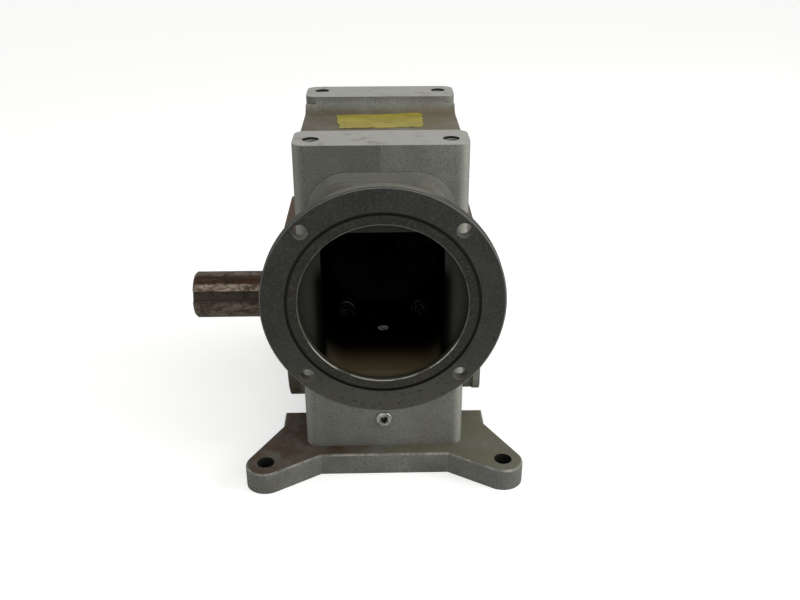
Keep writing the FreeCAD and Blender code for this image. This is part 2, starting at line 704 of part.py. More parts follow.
def motor_flange_adapter():
    """The cast flange for the motor, on a rounded square neck that houses the coupling."""
    face, cap_opening = s.flange_face_reach, input_cap_diameter + s.hole_gap * 10
    flange_back = face - s.flange_thickness
    corner = s.tunnel_round + s.neck_wall
    outer_x = s.tunnel_half_width + s.neck_wall

    def square(half, top, floor, radius):
        up, down = worm_height + top - radius, worm_height - floor + radius
        across = half - radius
        return [(across, up, radius), (-across, up, radius), (-across, down, radius), (across, down, radius)]

    def neck_outline(more):
        return square(outer_x + more, s.neck_top_at_block + more, s.neck_floor_at_block + more, corner + more)

    root = neck_outline(s.neck_flare)
    knee, knee_at = neck_outline(s.neck_flare_knee), adapter_back + s.neck_flare_knee
    flare_end = adapter_back + s.neck_flare
    pieces = [lofted("XZ_Plane", root, adapter_back, knee, knee_at),
              lofted("XZ_Plane", knee, knee_at, neck_outline(0), flare_end),
              lofted("XZ_Plane", neck_outline(0), adapter_back,
                     square(outer_x, s.tunnel_top + s.neck_wall, s.tunnel_floor + s.neck_wall, corner),
                     flange_back)]
    tunnel = lofted("XZ_Plane",
                    square(s.tunnel_half_width, s.tunnel_top_at_block, s.tunnel_floor, s.tunnel_round),
                    adapter_floor,
                    square(s.tunnel_half_width, s.tunnel_top, s.tunnel_floor, s.tunnel_round),
                    face - s.register_depth)
    rim, lip = flange_diameter / 2, s.flange_rim_chamfer
    groove_in = (s.groove_diameter - s.groove_width) / 2
    groove_out = (s.groove_diameter + s.groove_width) / 2
    flange = turned([(-face, 0), (-flange_back, 0), (-flange_back, rim - lip), (-flange_back - lip, rim),
                     (-face + lip, rim), (-face, rim - lip), (-face, groove_out),
                     (-face + s.groove_depth, groove_out), (-face + s.groove_depth, groove_in),
                     (-face, groove_in)], "Y", worm_line)
    holes = [tunnel,
             rod(s.register_diameter, -face, -face + s.register_depth, "Y", worm_line),
             rod(cap_opening, -adapter_floor - s.breakthrough, -adapter_back, "Y", worm_line)]
    for i, j in QUARTERS:
        reach = s.flange_bolt_circle * DIAGONAL / 2
        spot = (reach * i, worm_height + reach * j)
        holes.append(rod(s.flange_bolt_hole, -face, -flange_back, "Y", spot))
    for spot in adapter_screw_spots:
        holes.append(rod(s.adapter_screw + s.hole_gap * 2, -adapter_floor, -adapter_back, "Y", spot))
    drain_top, drain_line = worm_height - s.tunnel_floor, (0, -adapter_floor - s.adapter_drain_back)
    drain_end = drain_top - s.neck_wall
    holes.append(rod(s.adapter_drain_plug, drain_end - s.neck_wall, drain_top + s.breakthrough,
                     "Z", drain_line))
    part("motor_flange_adapter", cut(fused(pieces + [flange]), holes))
    plug = rod(s.adapter_drain_plug, drain_end, drain_top, "Z", drain_line)
    key = hexagon(s.adapter_drain_key, drain_top - s.adapter_drain_key, drain_top, "Z", drain_line)
    part("adapter_drain_plug", cut(plug, [key]))
    gasket = slab("XZ_Plane", root, s.gasket_thickness, half_depth)
    openings = [rod(cap_opening, -adapter_back, -half_depth, "Y", worm_line)]
    for spot in adapter_screw_spots:
        openings.append(rod(s.adapter_screw + s.hole_gap * 2, -adapter_back, -half_depth, "Y", spot))
    part("adapter_gasket", cut(gasket, openings))
    tip = -half_depth + s.adapter_screw_reach
    part("adapter_screws", group([socket_screw(s.adapter_screw, -adapter_floor, tip, "Y", spot, -1)
                                  for spot in adapter_screw_spots]))


def input_cap():
    """The cap that holds the front worm bearing and the input oil seal."""
    back, spigot = -half_depth - s.gasket_thickness, s.worm_bearing_outside / 2 - s.static_gap
    seal_out, clear = s.input_seal_outside / 2, s.cap_screw + s.hole_gap * 2
    shaft_clear = s.worm_bearing_bore / 2 + s.shaft_clearance
    seal_floor = -cap_face + s.input_seal_width
    cap = turned([(-cap_face, seal_out), (seal_floor, seal_out), (seal_floor, shaft_clear),
                  (-worm_cup_back, shaft_clear), (-worm_cup_back, spigot), (back, spigot),
                  (back, input_cap_diameter / 2), (-cap_face, input_cap_diameter / 2)], "Y", worm_line)
    holes = [rod(clear, -cap_face, back, "Y", spot) for spot in input_cap_screw_spots]
    part("input_seal_cap", cut(cap, holes))
    gasket = ring(s.worm_bearing_outside, input_cap_diameter, back, -half_depth, "Y", worm_line)
    holes = [rod(clear, back, -half_depth, "Y", spot) for spot in input_cap_screw_spots]
    part("input_cap_gasket", cut(gasket, holes))
    tip = -half_depth + s.cap_screw_reach
    part("input_cap_screws", group([hex_screw(s.cap_screw, -cap_face, tip, "Y", spot, -1)
                                    for spot in input_cap_screw_spots]))
    part("input_oil_seal", oil_seal(s.worm_bearing_bore, s.input_seal_outside, s.input_seal_width,
                                    -cap_face, 1, "Y", worm_line))


def oil_seal(shaft, outside, width, face, inward, axis, centre):
    """A lip seal: a rubber case open to the oil side, with one lip on the shaft."""
    lip, case = shaft / 2 + s.running_gap, outside / 2 - s.static_gap
    wall, deep, front = (case - lip) * s.seal_wall, width * s.seal_lip, width * s.seal_face
    profile = [(0, lip), (deep, lip), (deep, lip + wall), (front, lip + wall),
               (front, case - wall), (width, case - wall), (width, case), (0, case)]
    return turned(profile, axis, centre, face, inward)


def end_cap():
    """The closed cap over the rear worm bearing, with the shims that set the bearings' play."""
    spigot = s.worm_bearing_outside / 2 - s.static_gap
    back = half_depth + s.gasket_thickness
    face, rim, land = back + s.end_cap_thickness, end_cap_diameter / 2, s.cap_land
    hub, clear = s.end_cap_hub_diameter / 2, s.cap_screw + s.hole_gap * 2
    cap = turned([(worm_cup_back, spigot - s.cap_ring), (worm_cup_back, spigot), (back, spigot), (back, rim),
                  (face - land - 1, rim), (face - land, rim - 1), (face - land, hub), (face, hub - land),
                  (face, 0), (back, 0), (back, spigot - s.cap_ring)], "Y", worm_line)
    through = [rod(clear, back, face, "Y", spot) for spot in end_cap_screw_spots]
    part("worm_end_cap", cut(cap, through))
    shims = ring(s.worm_bearing_outside, end_cap_diameter, half_depth, back, "Y", worm_line)
    through = [rod(clear, half_depth, back, "Y", spot) for spot in end_cap_screw_spots]
    part("worm_end_cap_shims", cut(shims, through))
    tip = half_depth - s.cap_screw_reach
    part("worm_end_cap_screws", group([hex_screw(s.cap_screw, face - land, tip, "Y", spot, 1)
                                       for spot in end_cap_screw_spots]))


def output_cover():
    """The output side's cover: a rounded square plate, a hub for the bearing and a nose for the seal."""
    outside = rectangle(output_boss_size / 2, output_boss_size / 2, gear_height, s.output_boss_round)
    cup_outside, cup_front = s.output_bearing_outside, output_cup_back - s.output_cup_width
    plate = slab("YZ_Plane", outside, s.output_cover_thickness, -output_cover_face)
    nose, edge = s.output_nose_diameter / 2, s.nose_chamfer
    hub = turned([(-output_nose, 0), (-output_nose, nose - edge), (-output_nose + edge, nose),
                  (-output_cover_face, nose + edge), (-output_cover_back, nose + edge),
                  (-output_cover_back, cup_outside / 2 + s.cover_hub_wall),
                  (-cup_front, cup_outside / 2 + s.cover_hub_wall), (-cup_front, 0)], "X", gear_line)
    seal_back = -output_nose + s.output_seal_width
    tools = [rod(cup_outside + s.static_gap * 2, -output_cup_back, -cup_front, "X", gear_line),
             rod(s.output_bearing_bore + s.shaft_clearance * 2, seal_back, -output_cup_back, "X", gear_line),
             rod(s.output_seal_outside, -output_nose, seal_back, "X", gear_line)]
    for spot in output_screw_spots:
        tools.append(countersink(s.side_screw, -output_cover_face, -output_cover_back, "X", spot, -1))
    part("output_side_cover", cut(fused([plate, hub]), tools))
    gasket = slab("YZ_Plane", outside, s.gasket_thickness, -output_cover_back)
    tools = [rod(output_opening, -output_cover_back, -s.output_boss_reach, "X", gear_line)]
    for spot in output_screw_spots:
        tools.append(rod(s.side_screw + s.hole_gap * 2, -output_cover_back, -s.output_boss_reach, "X", spot))
    part("output_cover_gasket", cut(gasket, tools))
    tip = -s.output_boss_reach + s.output_screw_reach
    part("output_cover_screws", group([flat_screw(s.side_screw, -output_cover_face, tip, "X", spot, -1)
                                       for spot in output_screw_spots]))
    part("output_oil_seal", oil_seal(s.output_bearing_bore, s.output_seal_outside, s.output_seal_width,
                                     -output_nose, 1, "X", gear_line))


def closed_plate():
    """The thin plate that closes the far side and bears on the bearing cup through its spigot."""
    outside = rectangle(s.closed_plate_depth / 2, s.closed_plate_height / 2, gear_height,
                        s.closed_plate_round)
    bore, back = s.output_bearing_outside, closed_plate_back
    face = back + s.closed_plate_thickness
    plate = slab("YZ_Plane", outside, s.closed_plate_thickness, back)
    spigot = rod(bore - s.static_gap * 2, output_cup_back, back, "X", gear_line)
    crown = turned([(back, 0), (back, bore / 2 + s.crown_rise), (face, bore / 2 + s.crown_rise),
                    (face + s.crown_rise, bore / 2), (face + s.crown_rise, 0)], "X", gear_line)
    tools = [rod(bore - s.cup_lip * 2, output_cup_back, back, "X", gear_line)]
    for spot in closed_screw_spots:
        tools.append(countersink(s.side_screw, face, back, "X", spot, 1))
    part("closed_side_plate", cut(fused([plate, spigot, crown]), tools))
    shims = slab("YZ_Plane", outside, s.gasket_thickness, s.closed_boss_reach)
    tools = [rod(bore, s.closed_boss_reach, back, "X", gear_line)]
    for spot in closed_screw_spots:
        tools.append(rod(s.side_screw + s.hole_gap * 2, s.closed_boss_reach, back, "X", spot))
    part("closed_side_shims", cut(shims, tools))
    tip = s.closed_boss_reach - s.side_screw_reach
    part("closed_side_screws", group([flat_screw(s.side_screw, face, tip, "X", spot, 1)
                                      for spot in closed_screw_spots]))


def trig(function, angle):
    """The sine, cosine or tangent of an angle in degrees."""
    number = getattr(math, function)(math.radians(value(angle)))
    return Size(number, "%s(%s * 1 deg)" % (function, formula(angle)))


class Bearing:
    """A tapered roller bearing measured from its cone's back face towards its cup's back face."""

    def __init__(self, kind):
        sizes = vars(s)
        self.bore, self.outside = sizes[kind + "_bearing_bore"] / 2, sizes[kind + "_bearing_outside"] / 2
        self.width = sizes[kind + "_bearing_width"]
        self.cup_width, self.cone_width = sizes[kind + "_cup_width"], sizes[kind + "_cone_width"]
        self.circle, self.roller = sizes[kind + "_roller_circle"] / 2, sizes[kind + "_roller"] / 2
        self.roller_length = sizes[kind + "_roller_length"]
        self.count = int(value(sizes[kind + "_rollers"]))
        self.middle = self.width / 2

    def raceway(self, at, outer):
        """The radius of a raceway at a distance from the cone's back face."""
        side = 1 if outer else -1
        reach = (self.roller + s.roller_gap) * side
        slope = trig("tan", s.roller_tilt + s.roller_taper * side)
        start = self.middle + reach * trig("sin", s.roller_tilt)
        return self.circle + reach * trig("cos", s.roller_tilt) - (at - start) * slope

    def cup(self, axis, centre, back, out):
        front = self.width - self.cup_width
        profile = [(front, self.raceway(front, True)), (self.width, self.raceway(self.width, True)),
                   (self.width, self.outside), (front, self.outside)]
        return turned(profile, axis, centre, back * out, out)

    def cone(self, axis, centre, back, out):
        bore, rib = self.bore + s.static_gap / 2, self.width * s.cone_rib
        small = self.cone_width - self.width * s.cone_small_rib
        thick, thin = self.raceway(rib, False), self.raceway(small, False)
        shoulder, nose = thick + rib * s.cone_rib_height, thin + rib * s.cone_small_rib_height
        profile = [(0, bore), (self.cone_width, bore), (self.cone_width, nose), (small, nose),
                   (small, thin), (rib, thick), (rib, shoulder), (0, shoulder)]
        return turned(profile, axis, centre, back * out, out)

    def rollers(self, axis, centre, back, out, spare=0):
        """The ring of rollers, each a cone frustum; spare makes them larger, to cut a cage's windows."""
        half = self.roller_length / 2 + spare
        sine, cosine = trig("sin", s.roller_tilt), trig("cos", s.roller_tilt)
        along = (back + self.middle - half * cosine) * out
        radius = self.circle + half * sine
        swell = half * trig("tan", s.roller_taper)
        ring_of_rollers = []
        for i in range(self.count):
            turn = 2 * math.pi * i / self.count
            roller = doc.addObject("Part::Cone", "Roller")
            bind(roller, "Radius1", self.roller + swell + spare)
            bind(roller, "Radius2", self.roller - swell + spare)
            bind(roller, "Height", half * 2)
            spread = [centre[0] + radius * math.cos(turn), centre[1] + radius * math.sin(turn)]
            lean = [-value(sine) * math.cos(turn), -value(sine) * math.sin(turn)]
            heading = on_axis(axis, value(cosine) * out, lean)
            place(roller, on_axis(axis, along, spread), Rotation(Vector(0, 0, 1), Vector(*heading)))
            ring_of_rollers.append(roller)
        return ring_of_rollers

    def cage(self, axis, centre, back, out):
        reach = self.roller_length / 2 + s.cage_overhang
        slope, half = trig("tan", s.roller_tilt), s.cage_thickness / 2
        first, last = self.middle - reach, self.middle + reach
        wide, narrow = self.circle + reach * slope, self.circle - reach * slope
        profile = [(first, wide - half), (last, narrow - half), (last, narrow + half), (first, wide + half)]
        shell = turned(profile, axis, centre, back * out, out)
        return cut(shell, [group(self.rollers(axis, centre, back, out, s.cage_play))])


def bearings():
    """The two taper roller bearings on each shaft, set face to face with their cups outward."""
    for kind, axis, centre, back, ends in (
            ("worm", "Y", worm_line, worm_cone_back, (("front", -1), ("rear", 1))),
            ("output", "X", gear_line, output_cone_back, (("left", -1), ("right", 1)))):
        bearing = Bearing(kind)
        rollers, cages = [], []
        for end, out in ends:
            part("%s_%s_bearing_cup" % (kind, end), bearing.cup(axis, centre, back, out))
            part("%s_%s_bearing_cone" % (kind, end), bearing.cone(axis, centre, back, out))
            rollers.extend(bearing.rollers(axis, centre, back, out))
            cages.append(bearing.cage(axis, centre, back, out))
        part("%s_bearing_rollers" % kind, group(rollers))
        part("%s_bearing_cages" % kind, group(cages))


def worm_shaft():
    """The worm cut in one with its shaft, running on a bearing at each end, with a keyed stub."""
    journal = s.worm_bearing_bore / 2
    seal_end = cap_face + s.shaft_clearance
    stub_end, stub = seal_end + s.input_stub_length, s.input_stub_diameter / 2
    rear_end, edge = worm_cup_back - 1, s.shaft_chamfer
    body = turned([(-stub_end, 0), (rear_end, 0), (rear_end, journal - edge), (rear_end - edge, journal),
                   (worm_cone_back, journal), (worm_cone_back, worm_root), (-worm_cone_back, worm_root),
                   (-worm_cone_back, journal), (-seal_end, journal), (-seal_end, stub),
                   (-stub_end + edge, stub), (-stub_end, stub - edge)], "Y", worm_line)
    slope = trig("tan", s.pressure_angle)
    pitch_half = lead / 4 - s.tooth_backlash / 2
    start = -lead * (math.floor(s.worm_turns.value / 2) + 0.75)
    tip_half, root_half = pitch_half - addendum * slope, pitch_half + (dedendum + s.thread_sink) * slope
    sunk = worm_root - s.thread_sink
    profile = outline(body, "XY_Plane", [(start + root_half, sunk), (start + tip_half, worm_tip),
                                         (start - tip_half, worm_tip), (start - root_half, sunk)])
    thread = body.newObject("PartDesign::AdditiveHelix", "Thread")
    thread.Profile = (profile, [""])
    thread.ReferenceAxis = (profile, ["H_Axis"])
    thread.Mode = 0
    bind(thread, "Pitch", lead)
    bind(thread, "Height", lead * s.worm_turns)
    half, top = s.input_key_width / 2, worm_height + stub
    key_end = -seal_end - s.input_key_run_out
    keyway = box((-half, -stub_end, top - half), (half, key_end, top + s.breakthrough))
    part("worm_shaft", cut(body, [keyway]))


# How far from the worm's axis the gap's flanks are laid out, in shares of the gear's throat.
GAP_ROWS = (0.8, 1.05, 1.25, 1.42)


def involute_gap(radius, base, teeth, pressure):
    """Half the angle of the gap between two gear teeth at a radius, for involute flanks."""
    def involute(angle):
        return math.tan(angle) - angle

    at = math.acos(min(1.0, base / radius))
    tooth = math.pi / (2 * teeth) + involute(pressure) - involute(at)
    return math.pi / teeth - tooth


def worm_gear():
    """The bronze rim: a throated blank with one gap cut round the worm's axis for each tooth."""
    teeth, distance = int(s.gear_teeth.value), value(s.centre_distance)
    half, outside, inside = value(s.rim_width) / 2, value(rim_outside) / 2, value(s.rim_inside) / 2
    throat = distance - value(gear_pitch_radius + addendum)
    edge = math.sqrt(throat ** 2 - (distance - outside) ** 2)
    corners = [Vector(edge, 0, outside), Vector(half, 0, outside), Vector(half, 0, inside),
               Vector(-half, 0, inside), Vector(-half, 0, outside), Vector(-edge, 0, outside)]
    edges = [Part.LineSegment(a, b).toShape() for a, b in zip(corners, corners[1:])]
    edges.append(Part.Arc(corners[-1], Vector(0, 0, distance - throat), corners[0]).toShape())
    blank = Part.Face(Part.Wire(edges)).revolve(Vector(), Vector(1, 0, 0), 360)
    pressure = math.radians(value(s.pressure_angle))
    base = value(gear_pitch_radius) * math.cos(pressure)
    root = value(s.worm_pitch_diameter / 2 + dedendum)
    depths = [throat * share for share in GAP_ROWS] + [root]

    def station(turn):
        """The gap's outline in the plane through the worm's axis at an angle round it."""
        rows = []
        for depth in depths:
            radius = distance - depth * math.cos(turn)
            width = radius * math.sin(involute_gap(radius, base, teeth, pressure))
            rows.append((depth, width + value(s.tooth_backlash) / 2))
        shift = value(lead) * turn / (2 * math.pi)
        flank = [(depth, shift + width) for depth, width in rows]
        flank += [(depth, shift - width) for depth, width in reversed(rows)]
        spots = [Vector(-d * math.sin(turn), along, distance - d * math.cos(turn)) for d, along in flank]
        return Part.makePolygon(spots + spots[:1])

    sweep = math.radians(value(s.gap_sweep))
    steps = int(s.gap_steps.value)
    stations = [station(sweep * (2 * i / steps - 1)) for i in range(steps + 1)]
    gap = Part.makeLoft(stations, True, True)
    gaps = []
    for i in range(teeth):
        copy = gap.copy()
        copy.rotate(Vector(), Vector(1, 0, 0), 360.0 * i / teeth)
        gaps.append(copy)
    rim = doc.addObject("Part::Feature", "Rim")
    rim.Shape = blank.cut(gaps)
    place(rim, (0, 0, gear_height))
    part("bronze_worm_gear", rim)


def gear_hub():
    """The cast iron centre that carries the bronze rim, and the key that drives the shaft."""
    bore, seat = s.gear_seat_diameter / 2 + s.static_gap / 2, s.rim_inside / 2 - s.static_gap
    half, boss, web, wide = s.hub_length / 2, s.hub_diameter / 2, s.hub_web / 2, s.rim_width / 2
    recess = seat - s.hub_rim
    right = [(half, bore), (half, boss), (web, boss + 1), (web, recess - 1), (wide, recess), (wide, seat)]
    left = [(-along, radius) for along, radius in reversed(right)]
    hub = turned(right + left, "X", gear_line)
    part("gear_hub", cut(hub, [gear_key_block(s.static_gap)]))
    part("gear_key", gear_key_block(0))


def gear_key_block(spare):
    """The gear key's block, let half its height into the shaft; spare makes the cut for it larger."""
    top = gear_height + s.gear_seat_diameter / 2 + s.gear_key_in_hub
    reach, half = s.gear_key_length / 2 + spare, s.gear_key_width / 2 + spare
    return box((-reach, -half, top - s.gear_key_height - spare), (reach, half, top + spare))


def output_shaft():
    """The stepped output shaft: a keyed end, bearing journals, the gear seat and its collar."""
    end, step = s.output_end_reach, output_nose + s.step_clear
    out, journal = s.output_diameter / 2, s.output_bearing_bore / 2
    seat, collar = s.gear_seat_diameter / 2, s.collar_diameter / 2
    hub, far_end, edge = s.hub_length / 2, output_cup_back - 1, s.output_chamfer
    shoulder = -hub - s.collar_width
    shaft = turned([(-end, 0), (far_end, 0), (far_end, journal - edge), (far_end - edge, journal),
                    (hub, journal), (hub, seat), (-hub, seat), (-hub, collar), (shoulder, collar),
                    (shoulder, seat), (-output_cone_back, seat), (-output_cone_back, journal),
                    (-step, journal), (-step, out), (-end + edge, out), (-end, out - edge)], "X", gear_line)
    angle = value(s.output_key_turn)
    sine, cosine = math.sin(math.radians(angle)), math.cos(math.radians(angle))
    half, floor = s.output_key_width / 2, out - s.output_key_depth
    keyway = doc.addObject("Part::Box", "Keyway")
    bind(keyway, "Length", end - s.output_key_end)
    bind(keyway, "Width", s.output_key_width)
    bind(keyway, "Height", s.output_key_depth * 2)
    place(keyway, (-end, -half * cosine - floor * sine, gear_height - half * sine + floor * cosine),
          Rotation(Vector(1, 0, 0), angle))
    part("output_shaft", cut(shaft, [keyway, gear_key_block(s.static_gap)]))
    part("gear_spacer", ring(s.output_bearing_bore + s.static_gap * 2, s.spacer_diameter, hub,
                             output_cone_back, "X", gear_line))


def plugs():
    """Socket head pipe plugs in the block's ends, and the breather at the top of the rear."""
    plug_body = s.plug_diameter - s.static_gap * 2
    for name, side, height in (("drain_plug", -1, s.drain_height), ("rear_drain_plug", 1, s.drain_height),
                               ("oil_level_plug", 1, gear_height)):
        outer, inner = (half_depth + s.plug_stand_out) * side, (half_depth - s.plug_length) * side
        plug = rod(plug_body, inner, outer, "Y", (0, height))
        part(name, cut(plug, [hexagon(s.plug_hex, outer - s.plug_key_depth * side, outer, "Y", (0, height))]))
    line, base = (0, s.breather_height), half_depth + s.plug_hex
    top, shoulder = base + s.breather_cap_height, base + s.breather_cap_height - s.breather_cap_slope
    cap = turned([(base, 0), (top, 0), (top, s.breather_cap_top / 2), (shoulder, s.breather_cap / 2),
                  (base, s.breather_cap / 2)], "Y", line)
    part("breather", fused([rod(plug_body, half_depth - s.plug_length, base, "Y", line),
                            hexagon(s.breather_hexagon, half_depth + s.hole_gap, base, "Y", line), cap]))


def save():
    """Check every object and write each sub-part to its own file."""
    doc.recompute()
    broken = [o.Name for o in doc.Objects if "Invalid" in o.State or "Error" in o.State]
    for thing in PARTS:
        if thing.Shape.isNull() or not thing.Shape.isValid():
            broken.append(thing.Label)
    if broken:
        raise RuntimeError("these objects failed: " + ", ".join(broken))
    os.makedirs("parts", exist_ok=True)
    for thing in PARTS:
        thing.Shape.exportStep("parts/%s.step" % thing.Label)
        print("%-26s %2d solids %11.1f mm3" % (thing.Label, len(thing.Shape.Solids), thing.Shape.Volume))


gear_housing()
foot("front_foot", -1)
foot("rear_foot", 1)
foot_bolts()
motor_flange_adapter()
input_cap()
end_cap()
output_cover()
closed_plate()
bearings()
worm_shaft()
worm_gear()
gear_hub()
output_shaft()
plugs()
save()
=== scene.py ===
"""Looks for a cast-iron right-angle worm gear reducer on two feet.

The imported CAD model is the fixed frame. This script gives each casting, shaft,
bearing, gear and fastener its finish, models the small fasteners, threads and
the worn label finely, and sets the camera, the floor and the light.
Sizes are in millimetres, unless a docstring says otherwise, and become metres
where they are used.
"""

from __future__ import annotations

import logging
import math
import random
from collections.abc import Iterable, Sequence
from dataclasses import dataclass, field
from enum import Enum
from functools import cached_property

import bmesh
import bpy
from bmesh.types import BMesh
from bpy.types import ID, Material, Node, NodeOutputs, NodeSocket, NodeTree, Object, World
from mathutils import Matrix, Vector

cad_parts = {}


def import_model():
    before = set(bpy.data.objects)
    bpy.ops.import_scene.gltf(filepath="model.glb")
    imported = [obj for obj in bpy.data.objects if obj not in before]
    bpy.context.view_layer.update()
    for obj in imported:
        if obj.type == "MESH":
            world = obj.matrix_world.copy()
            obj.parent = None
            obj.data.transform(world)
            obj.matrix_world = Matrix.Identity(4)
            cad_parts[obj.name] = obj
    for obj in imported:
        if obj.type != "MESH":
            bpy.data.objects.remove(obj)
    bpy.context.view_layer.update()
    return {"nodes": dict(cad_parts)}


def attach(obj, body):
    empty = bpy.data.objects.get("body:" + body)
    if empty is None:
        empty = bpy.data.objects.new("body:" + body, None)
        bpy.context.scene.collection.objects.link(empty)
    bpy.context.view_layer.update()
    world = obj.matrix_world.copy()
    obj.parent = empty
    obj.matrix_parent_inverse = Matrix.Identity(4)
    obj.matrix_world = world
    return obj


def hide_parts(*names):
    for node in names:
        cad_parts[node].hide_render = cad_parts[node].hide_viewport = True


LOG = logging.getLogger("reducer")
MM = 0.001
PHOTO_WIDTH = 800
QUARTERS = ((1, 1), (-1, 1), (-1, -1), (1, -1))

Span = tuple[float, float]
Triple = tuple[float, float, float]
Value = Node | NodeSocket | Triple | float | str
Inputs = dict[str | int, Value]
EVEN: Triple = (1.0, 1.0, 1.0)


class Side(Enum):
    """The way a head looks, along Y: to the motor or away from it."""

    FRONT = -1.0
    BACK = 1.0


class Body(Enum):
    """The body that carries the fine pieces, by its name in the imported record."""

    HOUSING = "housing"


def linear(hex_colour: str) -> tuple[float, float, float, float]:
    """Turn an sRGB hex colour into linear red, green and blue with an alpha of 1."""
    channels = [int(hex_colour[i:i + 2], 16) / 255 for i in (1, 3, 5)]
    red, green, blue = (c / 12.92 if c <= 0.04045 else ((c + 0.055) / 1.055) ** 2.4 for c in channels)
    return red, green, blue, 1.0


@dataclass
class Paint:
    """One material's node tree, with its colour as it is built up in layers.

    A value in these calls is a node, which stands for its first output, a socket,
    a number, a vector or a hex colour.
    """

    tree: NodeTree
    colour: Value = "#ffffff"
    places: dict[Triple, Node] = field(default_factory=dict)

    @classmethod
    def on(cls, owner: Material | World) -> Paint:
        """Start a material's or a world's node tree afresh."""
        owner.use_nodes = True
        owner.node_tree.nodes.clear()
        return cls(owner.node_tree)

    def add(self, kind: str, inputs: Inputs | None = None, **settings: object) -> Node:
        """Add one shader node with its settings and links.

        Args:
            kind: the node's type name after ShaderNode.
            inputs: input name or number to a value.
            **settings: properties of the node.

        Returns:
            The new node.
        """
        made = self.tree.nodes.new("ShaderNode" + kind)
        for name, setting in settings.items():
            setattr(made, name, setting)
        for key, value in (inputs or {}).items():
            source = value.outputs[0] if isinstance(value, Node) else value
            if isinstance(source, NodeSocket):
                self.tree.links.new(source, made.inputs[key])
            else:
                made.inputs[key].default_value = linear(source) if isinstance(source, str) else source
        return made

    def maths(self, operation: str, first: Value, second: Value = 0.0) -> Node:
        """Work out one or two numbers."""
        return self.add("Math", {0: first, 1: second}, operation=operation)

    def vector(self, operation: str, first: Value, second: Value = (0.0, 0.0, 0.0)) -> Value:
        """Work out one or two vectors; a length or a dot product comes back as a number."""
        made = self.add("VectorMath", {0: first, 1: second}, operation=operation)
        return made.outputs["Value"] if operation in ("LENGTH", "DOT_PRODUCT") else made

    def times(self, first: Value, *others: Value) -> Value:
        """Multiply values."""
        for other in others:
            first = self.maths("MULTIPLY", first, other)
        return first

    def either(self, first: Value, second: Value) -> Node:
        """Take the larger of two values."""
        return self.maths("MAXIMUM", first, second)

    def mix(self, share: Value, first: Value, second: Value) -> NodeSocket:
        """Mix two colours; share is how much of the second one shows."""
        return self.add("Mix", {0: share, 6: first, 7: second}, data_type="RGBA").outputs[2]

    def over(self, share: Value, colour: Value) -> None:
        """Lay a colour over the material's; share is how much of it shows."""
        self.colour = self.mix(share, self.colour, colour)

    def ramp(self, value: Value, low: float, high: float, bottom: float = 0.0, top: float = 1.0) -> Node:
        """Spread part of a value's range smoothly over another range.

        Args:
            value: the value to read.
            low: where the part starts.
            high: where it ends; it may be the smaller.
            bottom: what the start gives.
            top: what the end gives.

        Returns:
            The node whose output is the spread value.
        """
        return self.add("MapRange", {"Value": value, "From Min": low, "From Max": high, "To Min": bottom,
                                     "To Max": top}, interpolation_type="SMOOTHSTEP")

    def span(self, length: Value, low: float, high: float, bottom: float = 0.0, top: float = 1.0) -> Node:
        """Do what ramp does for a length, with low and high in millimetres."""
        return self.ramp(length, low * MM, high * MM, bottom, top)

    def between(self, length: Value, low: float, high: float, soft: float) -> Value:
        """Find where a length lies between two limits; their soft borders reach outside them."""
        return self.times(self.span(length, low - soft, low), self.span(length, high + soft, high))

    def place(self, stretch: Triple = EVEN) -> Node:
        """Give object coordinates, with patterns that many times denser along X, Y and Z."""
        if stretch not in self.places:
            coordinates = self.add("TexCoord").outputs["Object"]
            self.places[stretch] = self.add("Mapping", {"Vector": coordinates, "Scale": stretch})
        return self.places[stretch]

    @cached_property
    def at(self) -> NodeOutputs:
        """Each point's object coordinates, by the axis's name."""
        return self.add("SeparateXYZ", {0: self.place()}).outputs

    @cached_property
    def facing(self) -> NodeOutputs:
        """The way each point faces, by the axis's name."""
        return self.add("SeparateXYZ", {0: self.add("NewGeometry").outputs["Normal"]}).outputs

    def noise(self, size: float, detail: float = 3.0, ragged: float = 0.55, stretch: Triple = EVEN) -> Node:
        """Give noise.

        Args:
            size: about how wide its features are.
            detail: how many finer layers break them up.
            ragged: how strong the finer layers are.
            stretch: how many times denser it is along X, Y and Z.

        Returns:
            The noise's node.
        """
        return self.add("TexNoise", {"Vector": self.place(stretch), "Scale": 1.0 / (size * MM),
                                     "Detail": detail, "Roughness": ragged})

    def patches(self, size: float, low: float, high: float, bottom: float = 0.0, top: float = 1.0,
                detail: float = 3.0, ragged: float = 0.55, stretch: Triple = EVEN) -> Node:
        """Cut soft patches from noise: ramp spreads what noise gives."""
        return self.ramp(self.noise(size, detail, ragged, stretch), low, high, bottom, top)

    def crevices(self, reach: float, samples: int) -> NodeSocket:
        """Give how open each point is to what lies within reach: 0 deep in a corner, 1 in the open."""
        return self.add("AmbientOcclusion", {"Distance": reach * MM}, samples=samples).outputs["AO"]

    def sharp_edges(self, reach: float, strength: float) -> Value:
        """Find sharp outer edges within reach, scaled by strength and broken up: for wear and painted glints.
        """
        rounded = self.add("Bevel", {"Radius": reach * MM}, samples=4)
        turned = self.vector("DOT_PRODUCT", rounded, self.add("NewGeometry").outputs["Normal"])
        broken = self.patches(6.0, 0.4, 0.62, detail=5.0, ragged=0.7)
        return self.times(self.ramp(turned, 0.985, 0.86), broken, strength)

    def bump(self, height: Value, strength: float, depth: float) -> Node:
        """Raise the surface where height is high, by up to the depth."""
        return self.add("Bump", {"Height": height, "Strength": strength, "Distance": depth * MM})


